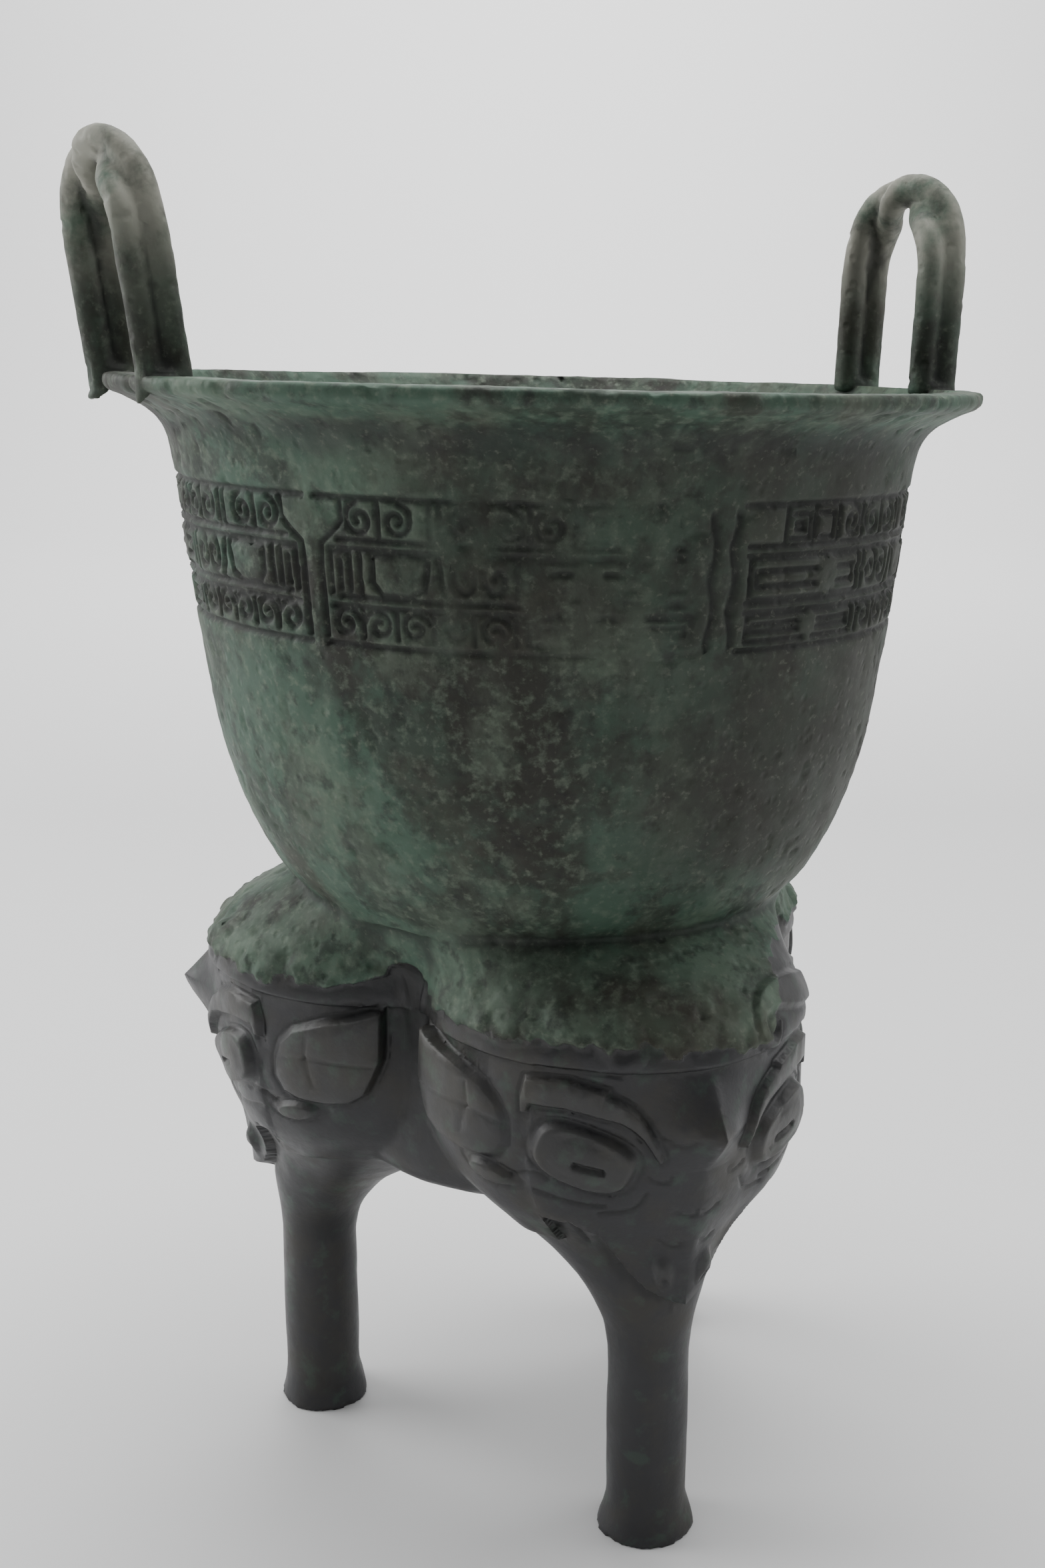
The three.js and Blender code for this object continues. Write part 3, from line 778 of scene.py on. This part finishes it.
def face_middles(piece):
    """The middles of the piece's faces, in millimetres."""
    flat = np.empty(len(piece.data.polygons) * 3)
    piece.data.polygons.foreach_get("center", flat)
    return flat.reshape(-1, 3) / METRE


# Placing and carving the relief

class Places:
    """Where each point lies: on which lobe, at which angle off its nose, and on which wall."""

    def __init__(self, points, sizes):
        self.z = points[:, 2]
        self.turn = np.degrees(np.arctan2(points[:, 0], -points[:, 1]))
        self.reach = np.hypot(points[:, 0], points[:, 1])
        number = np.round(self.turn / 120)
        self.lobe = (number % 3).astype(int)
        self.off = self.turn - number * 120
        table = lobe_table(sizes)
        centre = np.interp(self.z, table[:, 0], table[:, 1])
        radius = np.interp(self.z, table[:, 0], table[:, 2])
        along = self.reach * np.cos(np.radians(self.off)) - centre
        aside = self.reach * np.sin(np.radians(self.off))
        self.angle = np.degrees(np.arctan2(aside, along))
        self.s = np.radians(self.angle) * sizes.belly_radius
        self.buried = ((self.lobe == 0) & (self.s < 0)) | ((self.lobe == 2) & (self.s > 0))
        self.stand = np.hypot(along, aside) - radius
        turn = np.radians(number * 120 + self.angle)
        self.outward = np.stack([np.sin(turn), -np.cos(turn), np.zeros(len(turn))], 1)
        on_boiler = (self.z < sizes.waist_height - 3) & (self.z > 20)
        self.face = on_boiler * (1 - ease(np.abs(self.stand), 1.2, 3.0))
        bowl = bowl_table(sizes)
        wall = np.interp(self.z, bowl[:, 1], bowl[:, 0])
        on_bowl = (self.z > sizes.waist_height + 4) & (self.z < bowl[-1, 1] + 4)
        self.bowl = on_bowl * (1 - ease(np.abs(self.reach - wall), 1.2, 2.6))


def face_swell(places, sizes, relief):
    """The broad swell of the face: nose ridge, plate, shoulder ledge and beak."""
    off = np.abs(places.angle)
    z = places.z
    slope = np.clip(1 - off / NOSE_HALF_ANGLE, 0, 1)
    ridge_rows = smooth_rows(NOSE_RIDGE, 4)
    ridge = slope ** NOSE_SHARPNESS * np.interp(z, ridge_rows[:, 0], ridge_rows[:, 1])
    edge = np.interp(off, *np.array(JAW_EDGE).T)
    over = ease(z, edge - 0.4, edge + 0.6)
    plate = relief.jaw * np.clip(1 - (z - edge) / PLATE_FADE, 0, 1)
    front = 1 - ease(off, FACE_HALF_ANGLE, 90)
    shoulder = relief.ledge * ease(z, sizes.shoulder_height - 2.2, sizes.shoulder_height - 1)
    fade = 1 - ease(z, sizes.shoulder_height, sizes.waist_height)
    tip = np.array(BEAK_TIPS)[places.lobe]
    high = np.where(z > tip, (z - tip) / (BEAK_TOP - tip), (tip - z) / BEAK_DOWN)
    wide = np.clip(1 - np.abs(places.s) / BEAK_HALF, 0, 1)
    beak = relief.beak * np.clip(1 - high, 0, 1) * wide ** BEAK_SHARPNESS
    return (ridge + plate) * front * over + shoulder * fade + beak


def mask_relief(s, z, buried, relief):
    """Carving of a half mask by distance from the nose line and height. A buried half's horn is in crust."""
    brow = np.minimum(outline_gap(s, z, BROW_BAR), path_gap(s, z, smooth_rows(BROW_CURL, 5)))
    height = raised(brow, relief.brow, 0.9)
    eye = oval_gap(s, z, EYE_MIDDLE, EYE_HALF, EYE_LEAN, 2.9)
    height = np.where(eye < 1.2, raised(eye, relief.eye, 1.6, 0.6), height)
    height += grooved(np.abs(eye + 3.2), relief.vein * 0.25, 0.7)
    height += grooved(path_gap(s, z, EYE_SLIT), relief.vein * 2, 0.75)
    ear = outline_gap(s, z, EAR)
    lifted = relief.ear * (1 + EAR_GROWTH * (s - EAR_MIDDLE))
    height = np.where(ear < 1.4, raised(ear, lifted, 2, 0.3), height)
    for vein in EAR_VEINS:
        height += grooved(path_gap(s, z, vein), relief.vein * 0.4, 0.55)
    oval = oval_gap(s, z, SMALL_OVAL, SMALL_OVAL_HALF, 8)
    height = np.where(oval < 1.2, raised(oval, relief.ear * 0.7), height)
    horn = raised(path_gap(s, z, smooth_rows(HORN, 5)), relief.horn)
    height = np.where(z > 163.8, height + horn * np.where(buried, 0.3, 1), height)
    for line in EYELIDS:
        height += grooved(path_gap(s, z, smooth_rows(line, 4)), relief.vein * 0.75, 0.7)
    for middle in CRESCENTS:
        ring = np.abs(oval_gap(s, z, middle, CRESCENT_HALF, 20)) + 2 * (z > middle[1])
        height += grooved(ring, relief.vein * 0.6, 0.6)
    wing = oval_gap(s, z, NOSTRIL, NOSTRIL_HALF, 10)
    height += relief.nostril * (1 - ease(wing, -3.4, 0.8))
    height += grooved(np.hypot(s - NOSTRIL_PIT[0], z - NOSTRIL_PIT[1]), relief.vein * 2.6, 1.9)
    return height + grooved(path_gap(s, z, JAW_NOTCH), relief.vein, 0.8)


def wear_of(points, turn):
    """How much of the fine carving is left, from 0 to 1."""
    rubbed = sum(share * ease(turn, low, high) for share, low, high in WORN_STEPS)
    patchy = 1 + 1.2 * lumps(points, 6, 11)
    return np.clip(1 - rubbed * (1 - ease(turn, *SHARP_AGAIN)) * patchy, 0.05, 1)


def carve(skin, sizes, relief):
    """Raises the faces, then cuts the carving, crust and casting seams into the skin."""
    points = points_of(skin)
    places = Places(points, sizes)
    swell = face_swell(places, sizes, relief) * places.face
    points += places.outward * swell[:, None]
    put_points(skin, points)
    normals = normals_of(skin)
    s, z = np.abs(places.s), places.z
    height = mask_relief(s, z, places.buried, relief) * places.face * (z > MASK_FOOT)
    height *= 1 - 0.25 * np.clip(lumps(points, 16, 5), 0, 1)
    band = band_relief(points, places) * places.bowl
    height -= band * relief.band * (0.85 + 0.35 * lumps(points, 9, 6))
    seam = hump(places.s, 0.8) * places.face * (1 - ease(z, MASK_FOOT - 6, MASK_FOOT)) * ease(z, 6, 10)
    height += seam * SEAM_HEIGHT
    height += surface_wear(points, places, sizes, relief)
    points += normals * height[:, None]
    put_points(skin, points)


def surface_wear(points, places, sizes, relief):
    """Uneven casting, corrosion and crust, as height over the skin."""
    height = grains(points, CAST_LUMPS)
    crust = ease(crust_height(points, places), -0.4, 0.9)
    edge = crust * (1 - ease(places.z, sizes.shoulder_height + 8, sizes.waist_height - 2))
    height += edge * relief.crust * (1 + 0.7 * lumps(points, 3.2, 7))
    height += 0.12 * crust * lumps(points, 2.6, 10)
    for lobe, side, z, radius in NODULES:
        gap = np.hypot(places.s - side, places.z - z)
        height += NODULE_HEIGHT * places.face * (places.lobe == lobe) * np.exp(-(gap / radius) ** 4)
    pits = lumps(points, 4.2, 8)
    height -= 0.5 * ease(pits, 0.52, 0.8) * crust
    foot = 1 - ease(places.z, 2, sizes.foot_flare)
    height += foot * (0.9 * lumps(points, 9, 9) + 0.2)
    rim = sizes.waist_height + sizes.bowl_height
    lip = ease(places.reach, sizes.rim_radius - 3, sizes.rim_radius - 1) * ease(places.z, rim - 7, rim - 5)
    height -= lip * (1 - ease(places.z, rim + 1, rim + 2)) * 0.7 * ease(lumps(points, 5, 12), 0.3, 0.6)
    return height


def crust_height(points, places):
    """Height over the ragged lower edge of the green crust, in millimetres."""
    edge = CRUST_EDGE + CLEFT_RISE * hump(np.abs(places.off), 8, 60) + LEFT_RISE * hump(places.off, 14, -22)
    return places.z - edge - BARE_DROP * between(places.turn, *BARE_SIDE) + grains(points, EDGE_LUMPS)


def sink(points, sizes):
    """Lets the level lines fall towards one turn, more the higher they are."""
    along = along_turn(points, sizes.fall_turn)
    rim = sizes.waist_height + sizes.bowl_height
    points[:, 2] -= sizes.rim_fall * points[:, 2] * along / rim
    return points


def unsunk(points, sizes):
    """The points before the rim fell."""
    along = along_turn(points, sizes.fall_turn)
    rim = sizes.waist_height + sizes.bowl_height
    points = points.copy()
    points[:, 2] /= 1 - sizes.rim_fall * along / rim
    return points


def depth_of(piece, rounds):
    """How far each point lies below its surroundings, in millimetres."""
    points = points_of(piece)
    pairs = np.empty(len(piece.data.edges) * 2, int)
    piece.data.edges.foreach_get("vertices", pairs)
    ends = np.concatenate([pairs, pairs.reshape(-1, 2)[:, ::-1].ravel()]).reshape(-1, 2)
    count = np.bincount(ends[:, 0], minlength=len(points))[:, None]
    eased = points.copy()
    for _ in range(rounds):
        total = [np.bincount(ends[:, 0], eased[ends[:, 1], axis], len(points)) for axis in range(3)]
        eased = np.stack(total, 1) / np.maximum(count, 1)
    return np.sum((eased - points) * normals_of(piece), axis=1)


def store(piece, name, values):
    """Keeps a value for each point, for the material to read."""
    layer = piece.data.attributes.new(name, "FLOAT", "POINT")
    layer.data.foreach_set("value", np.asarray(values, np.float32))


def mark_surface(skin, sizes, relief):
    """Stores where grooves and hollows hold dirt and painted shade, with a painted shadow under the crust's
    ledge, where edges are rubbed, where the green crust lies, and where painted shade darkens the bowl's side
    and front and the handles' feet.
    """
    points = unsunk(points_of(skin), sizes)
    places = Places(points, sizes)
    s, z, turn = np.abs(places.s), places.z, places.turn
    rim = sizes.waist_height + sizes.bowl_height
    faces = np.where(np.abs(places.stand) < 9, 1.0, 0.0) * (z > MASK_FOOT) * (z < sizes.waist_height - 3)
    carving = mask_relief(s, z, places.buried, relief) * faces
    over_edge = crust_height(points, places)
    # Dirt and painted shade in the carved grooves and in the band's grooves.
    recess = np.maximum(ease(-carving, 0.1, 0.7), band_relief(points, places) * (places.bowl > 0.2))
    # Painted shade in hollows, by how far a point lies below its surroundings.
    recess = np.maximum(recess, 0.8 * ease(depth_of(skin, 14), 0.2, 0.9))
    # A painted shadow in a band under the ledge at the crust's lower edge.
    recess = np.maximum(recess, 0.5 * between(over_edge, (-7, -1), (-1, 0)))
    # Painted shade: darker umber over the upper front of the bowl.
    front_shade = 0.6 * ease(z, BAND_BOTTOM - 20, BAND_BOTTOM + 15) * between(turn, *SHADE_FRONT)
    on_bowl = between(z, (sizes.waist_height, sizes.waist_height + 30), (rim - 18, rim - 8))
    up_handle = (z - rim) / sizes.right_rise
    # Painted shade at the handles' feet, with painted shade over one side of the bowl below.
    foot = ease(z, rim + 1, rim + 3) * (1 - ease(up_handle, 0.35, 0.8))
    dark = np.maximum(between(turn, *SHADE_SIDE), front_shade) * on_bowl + 0.6 * foot
    store(skin, "recess", recess)
    store(skin, "raised", ease(carving, 0.4, 2.0))
    store(skin, "crust", np.clip(over_edge / 10, -2, 2))
    store(skin, "handle", ease(up_handle, 0.24, 0.8))
    store(skin, "dark", np.clip(dark, 0, 1))
    on_boiler = 1 - ease(z, sizes.waist_height - 6, sizes.waist_height + 4)
    store(skin, "bloom", ease(over_edge, 0, 5) * on_boiler)


def vessel_skin(sizes, relief):
    """The whole casting as one fine skin."""
    grain = relief.voxel * METRE * 1
    skin = body_skin(sizes, grain)
    for handle in handles_of(sizes):
        combine(skin, handle_skin(sizes, handle, grain), "UNION")

    def carved_ground(middles):
        places = Places(middles, sizes)
        mask = (places.face > 0) & (np.abs(places.angle) < MASK_ANGLE)
        mask &= (places.z > MASK_HEIGHTS[0]) & (places.z < MASK_HEIGHTS[1])
        band = (places.bowl > 0) & (places.z > BAND_BOTTOM - 3) & (places.z < BAND_TOP + 3)
        return mask | band

    subdivide_where(skin, carved_ground)
    carve(skin, sizes, relief)
    put_points(skin, sink(points_of(skin), sizes))
    triangles = sum(len(face.vertices) - 2 for face in skin.data.polygons)
    if triangles > relief.triangles:
        apply_modifier(skin, "DECIMATE", ratio=relief.triangles / triangles)
    apply_modifier(skin, "TRIANGULATE")
    points = points_of(skin)
    points[:, 2] = np.maximum(points[:, 2], 0)
    put_points(skin, points)
    mark_surface(skin, sizes, relief)
    activate(skin)
    bpy.ops.object.shade_smooth()
    return skin


# Node helpers

class Wiring:
    """Adds nodes to a tree and links them."""

    def __init__(self, tree):
        self.tree = tree

    def node(self, kind, settings=None, **inputs):
        """A node with its settings; inputs are values or sockets by name."""
        made = self.tree.nodes.new(kind)
        for key, value in (settings or {}).items():
            setattr(made, key, value)
        for key, value in inputs.items():
            self.feed(made.inputs[key.replace("_", " ")], value)
        return made

    def feed(self, socket, value):
        """A value or a link into a socket."""
        if isinstance(value, bpy.types.NodeSocket):
            self.tree.links.new(value, socket)
        elif isinstance(value, tuple) and len(value) == 3 and socket.type == "RGBA":
            socket.default_value = (*value, 1)
        else:
            socket.default_value = value

    def mix(self, factor, first, second, blend="MIX"):
        """One colour over another."""
        made = self.node("ShaderNodeMix", {"data_type": "RGBA", "blend_type": blend})
        self.feed(made.inputs[0], factor)
        self.feed(made.inputs[6], first)
        self.feed(made.inputs[7], second)
        return made.outputs[2]

    def maths(self, operation, *values, clamp=False):
        """A sum on one to three values."""
        made = self.node("ShaderNodeMath", {"operation": operation, "use_clamp": clamp})
        for socket, value in zip(made.inputs, values):
            self.feed(socket, value)
        return made.outputs[0]

    def times(self, first, second):
        """One value times another."""
        return self.maths("MULTIPLY", first, second)

    def step(self, value, low, high):
        """A soft step of a value."""
        made = self.node("ShaderNodeMapRange", {"interpolation_type": "SMOOTHSTEP"})
        self.feed(made.inputs["Value"], value)
        made.inputs["From Min"].default_value = low
        made.inputs["From Max"].default_value = high
        return made.outputs[0]


def new_group(name, inputs, outputs):
    """An empty node group with its sockets, its input and its output node."""
    group = bpy.data.node_groups.new(name, "ShaderNodeTree")
    for label, kind, value in inputs:
        socket = group.interface.new_socket(label, in_out="INPUT", socket_type=kind)
        if value is not None:
            socket.default_value = value
    for label, kind in outputs:
        group.interface.new_socket(label, in_out="OUTPUT", socket_type=kind)
    wiring = Wiring(group)
    return group, wiring, wiring.node("NodeGroupInput"), wiring.node("NodeGroupOutput")


def mottle_group():
    """Ragged patches: a mask from two grains of noise, with its scale, cover and edge as inputs."""
    group, wiring, start, end = new_group(
        "Mottle",
        [("Vector", "NodeSocketVector", None), ("Scale", "NodeSocketFloat", 30.0),
         ("Cover", "NodeSocketFloat", 0.5), ("Edge", "NodeSocketFloat", 0.06)],
        [("Mask", "NodeSocketFloat")])
    noise = wiring.node("ShaderNodeTexNoise", Vector=start.outputs["Vector"], Scale=start.outputs["Scale"],
                        Detail=9.0, Roughness=0.62, Distortion=0.12)
    low = wiring.maths("SUBTRACT", start.outputs["Cover"], start.outputs["Edge"])
    high = wiring.maths("ADD", start.outputs["Cover"], start.outputs["Edge"])
    ramp = wiring.node("ShaderNodeMapRange", {"interpolation_type": "SMOOTHSTEP"}, Value=noise.outputs[0])
    wiring.feed(ramp.inputs["From Min"], low)
    wiring.feed(ramp.inputs["From Max"], high)
    wiring.feed(end.inputs["Mask"], ramp.outputs[0])
    return group


def grain_group():
    """Fine cast grain with corrosion pits, as a height."""
    group, wiring, start, end = new_group(
        "Cast grain",
        [("Vector", "NodeSocketVector", None), ("Scale", "NodeSocketFloat", 500.0),
         ("Pits", "NodeSocketFloat", 0.5)],
        [("Height", "NodeSocketFloat")])
    fine = wiring.node("ShaderNodeTexNoise", Vector=start.outputs["Vector"], Scale=start.outputs["Scale"],
                       Detail=6.0, Roughness=0.6)
    pit_scale = wiring.times(start.outputs["Scale"], 0.45)
    cells = wiring.node("ShaderNodeTexVoronoi", Vector=start.outputs["Vector"], Scale=pit_scale)
    pit = wiring.step(cells.outputs["Distance"], 0.05, 0.32)
    rough = wiring.times(fine.outputs[0], 0.5)
    deep = wiring.times(pit, start.outputs["Pits"])
    wiring.feed(end.inputs["Height"], wiring.maths("ADD", rough, deep))
    return group


def bronze_material(colours):
    """Old bronze: green crust over brown, smooth grey-black below, rubbed handles, dirt and painted shade in
    the grooves, and painted shade on one side of the bowl.
    """
    material = bpy.data.materials.new("old_bronze")
    material.use_nodes = True
    wiring = Wiring(material.node_tree)
    shader = material.node_tree.nodes["Principled BSDF"]
    mottle, grain = mottle_group(), grain_group()
    place = wiring.node("ShaderNodeTexCoord").outputs["Object"]
    upright = wiring.node("ShaderNodeMapping", Vector=place)
    upright.inputs["Scale"].default_value = (1, 1, 0.5)

    def paint(name):
        return tuple(getattr(colours, name))

    def attribute(name):
        return wiring.node("ShaderNodeAttribute", {"attribute_name": name}).outputs["Fac"]

    def patches(scale, cover, edge, vector=place):
        made = wiring.node("ShaderNodeGroup", {"node_tree": mottle}, Vector=vector, Scale=scale)
        made.inputs["Cover"].default_value = cover
        made.inputs["Edge"].default_value = edge
        return made.outputs["Mask"]

    def layered(base, rows, vector=place):
        for name, scale, cover, edge, strength in rows:
            mask = wiring.times(patches(scale, cover, edge, vector), strength)
            base = wiring.mix(mask, base, paint(name))
        return base

    green = wiring.mix(patches(16.0, 0.47, 0.08), paint("umber"), paint("teal"))
    green = layered(green, BROWN_PATCHES)
    green = layered(green, PALE_RUNS, upright.outputs[0])
    bloom = wiring.times(attribute("bloom"), BLOOM)
    pale = wiring.mix(0.4, paint("teal"), paint("verdigris"))
    green = wiring.mix(wiring.times(bloom, patches(40.0, 0.46, 0.1)), green, pale)
    green = layered(green, CRUST_PATCHES)
    soot = layered(paint("soot"), SOOT_PATCHES)
    ragged = wiring.node("ShaderNodeTexNoise", Vector=place, Scale=300.0, Detail=6.0, Roughness=0.6)
    shift = wiring.maths("MULTIPLY_ADD", ragged.outputs[0], 0.3, -0.15)
    crusted = wiring.step(wiring.maths("ADD", attribute("crust"), shift), -0.03, 0.06)
    base = wiring.mix(crusted, soot, green)
    # Painted shade: patchy umber over one side and the front of the bowl and at the handles' feet.
    uneven = wiring.maths("MULTIPLY_ADD", patches(14.0, 0.42, 0.16), 0.4, 0.45)
    base = wiring.mix(wiring.times(attribute("dark"), uneven), base, paint("umber"))
    rubbed = wiring.times(attribute("handle"), patches(55.0, 0.42, 0.14))
    base = wiring.mix(wiring.times(rubbed, RUBBED), base, paint("worn"))
    base = wiring.mix(wiring.times(attribute("raised"), RAISED), base, paint("worn"))
    # Dirt and painted shade in grooves and hollows, and a painted shadow under the crust's ledge.
    base = wiring.mix(wiring.times(attribute("recess"), RECESS_DIRT_AND_SHADE), base, paint("dirt_and_shade"))
    specks = wiring.times(patches(520.0, 0.64, 0.08), crusted)
    base = wiring.mix(wiring.times(specks, SPECKLED), base, paint("speckle"))
    wiring.feed(shader.inputs["Base Color"], base)
    matt = wiring.maths("MULTIPLY_ADD", crusted, 0.2, 0.42)
    rough = wiring.maths("MULTIPLY_ADD", patches(90.0, 0.5, 0.15), 0.1, matt)
    wiring.feed(shader.inputs["Roughness"], rough)
    shader.inputs["Metallic"].default_value = 0.2
    cast = wiring.node("ShaderNodeGroup", {"node_tree": grain}, Vector=place, Scale=420.0, Pits=crusted)
    bump = wiring.node("ShaderNodeBump", Strength=0.35, Distance=0.0007, Height=cast.outputs[0])
    wiring.feed(shader.inputs["Normal"], bump.outputs[0])
    return material


def plain_material(name, base, roughness):
    """A matt stage material with a faint change of tone."""
    material = bpy.data.materials.new(name)
    material.use_nodes = True
    wiring = Wiring(material.node_tree)
    shader = material.node_tree.nodes["Principled BSDF"]
    place = wiring.node("ShaderNodeTexCoord").outputs["Object"]
    tone = wiring.node("ShaderNodeTexNoise", Vector=place, Scale=2.0)
    light = wiring.mix(wiring.times(tone.outputs[0], 0.06), base, (0.7, 0.7, 0.7))
    wiring.feed(shader.inputs["Base Color"], light)
    shader.inputs["Roughness"].default_value = roughness
    return material


# The stage

def select_rear_edge(floor):
    """Edit mode, with only the floor's rear edge on the ground selected."""
    bpy.ops.object.mode_set(mode="EDIT")
    bpy.ops.mesh.select_mode(type="EDGE")
    bpy.ops.mesh.select_all(action="DESELECT")
    bpy.ops.object.mode_set(mode="OBJECT")
    for edge in floor.data.edges:
        ends = [floor.data.vertices[k].co for k in edge.vertices]
        edge.select = all(end.y > 0 and end.z < WELD for end in ends)
    bpy.ops.object.mode_set(mode="EDIT")


def disk_lamp(name, size, power, place, aim):
    """A round soft lamp at a place, facing along an aim."""
    lamp = bpy.data.objects.new(name, bpy.data.lights.new(name, "AREA"))
    lamp.data.shape = "DISK"
    lamp.data.size = size
    lamp.data.energy = power
    lamp.location = place
    lamp.rotation_euler = aim.to_track_quat("-Z", "Y").to_euler()
    bpy.context.scene.collection.objects.link(lamp)


# Operators

class YAN_OT_vessel(bpy.types.Operator):
    """Models the casting as one carved skin and finishes it in old bronze"""
    bl_idname = "yan.vessel"
    bl_label = "Bronze vessel"

    def execute(self, context):
        sizes = in_millimetres(context.scene.yan_sizes)
        relief = in_millimetres(context.scene.yan_relief)
        skin = vessel_skin(sizes, relief)
        skin.data.materials.clear()
        skin.data.materials.append(bronze_material(context.scene.yan_colours))
        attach(skin, "root")
        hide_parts(NODE)
        return {"FINISHED"}


class YAN_OT_stage(bpy.types.Operator):
    """Lays a pale floor that rises behind into a backdrop, with soft light over it"""
    bl_idname = "yan.stage"
    bl_label = "Floor and light"

    def execute(self, context):
        stage = context.scene.yan_stage
        half = stage.floor_size
        turn = math.radians(stage.camera_turn)
        swing = Matrix.Rotation(-turn, 3, "Z")
        deselect()
        bpy.ops.mesh.primitive_plane_add(size=2 * half, location=(0, 0, 0))
        floor = context.object
        floor.name = "floor"
        select_rear_edge(floor)
        bpy.ops.mesh.extrude_region_move(TRANSFORM_OT_translate={"value": (0, 0, half)})
        select_rear_edge(floor)
        bpy.ops.mesh.bevel(offset=half / 3, segments=24)
        bpy.ops.object.mode_set(mode="OBJECT")
        bpy.ops.object.shade_smooth()
        for point in floor.data.vertices:
            point.co = swing @ point.co
        floor.data.materials.append(plain_material("pale_floor", tuple(stage.floor_colour), 0.6))
        for name, azimuth, height, distance, size, power in LAMPS:
            angle = math.radians(azimuth) - turn
            place = Vector((distance * math.sin(angle), -distance * math.cos(angle), height))
            disk_lamp(name, size, power, place, Vector((0, 0, LAMP_AIM)) - place)
        place = swing @ (half * Vector(WASH_PLACE))
        disk_lamp("wash", half * WASH_SIZE, WASH_POWER, place, swing @ Vector(WASH_AIM))
        world = bpy.data.worlds.new("pale_room")
        world.use_nodes = True
        world.node_tree.nodes["Background"].inputs[0].default_value = ROOM_COLOUR
        world.node_tree.nodes["Background"].inputs[1].default_value = ROOM_STRENGTH
        context.scene.world = world
        return {"FINISHED"}


class YAN_OT_camera(bpy.types.Operator):
    """Sets the camera at the photograph's viewing angle"""
    bl_idname = "yan.camera"
    bl_label = "Camera"

    def execute(self, context):
        stage = context.scene.yan_stage
        angles = (stage.camera_pitch, stage.camera_yaw, stage.camera_roll)
        pitch, yaw, roll = (math.radians(angle) for angle in angles)
        ahead = Vector((math.sin(yaw) * math.cos(pitch), math.cos(yaw) * math.cos(pitch), -math.sin(pitch)))
        right = Vector((math.cos(yaw), -math.sin(yaw), 0))
        up = right.cross(ahead)
        across = math.cos(roll) * right + math.sin(roll) * up
        up = math.cos(roll) * up - math.sin(roll) * right
        swing = Matrix.Rotation(-math.radians(stage.camera_turn), 3, "Z")
        frame_of_view = Matrix((swing @ across, swing @ up, -(swing @ ahead))).transposed().to_4x4()
        frame_of_view.translation = swing @ Vector((0, -stage.camera_distance, stage.camera_height))
        camera = bpy.data.objects.new("camera", bpy.data.cameras.new("camera"))
        context.scene.collection.objects.link(camera)
        camera.matrix_world = frame_of_view
        camera.data.lens = stage.lens
        context.scene.camera = camera
        return {"FINISHED"}


class YAN_PT_panel(bpy.types.Panel):
    """The steps and sizes of the bronze yan"""
    bl_idname = "YAN_PT_panel"
    bl_label = "Bronze yan"
    bl_space_type = "VIEW_3D"
    bl_region_type = "UI"
    bl_category = "Yan"

    def draw(self, context):
        for step in STEPS:
            self.layout.operator(step.bl_idname)
        for name in GROUPS:
            box = self.layout.box()
            for key in getattr(context.scene, name).bl_rna.properties.keys():
                if key not in ("name", "rna_type"):
                    box.prop(getattr(context.scene, name), key)


STEPS = (YAN_OT_camera, YAN_OT_stage, YAN_OT_vessel)
GROUPS = {"yan_sizes": YanVesselSizes, "yan_relief": YanReliefSizes, "yan_colours": YanPatinaColours,
          "yan_stage": YanStageSettings}


def register():
    """Registers the settings, the steps and the panel."""
    for kind in (*GROUPS.values(), *STEPS, YAN_PT_panel):
        bpy.utils.register_class(kind)
    for name, kind in GROUPS.items():
        setattr(bpy.types.Scene, name, PointerProperty(type=kind))


def unregister():
    """Takes them out again."""
    for name in GROUPS:
        delattr(bpy.types.Scene, name)
    for kind in reversed((*GROUPS.values(), *STEPS, YAN_PT_panel)):
        bpy.utils.unregister_class(kind)


def main():
    """Runs every step."""
    register()
    bpy.ops.yan.camera()
    bpy.ops.yan.stage()
    bpy.ops.yan.vessel()


if __name__ == "__main__":
    main()
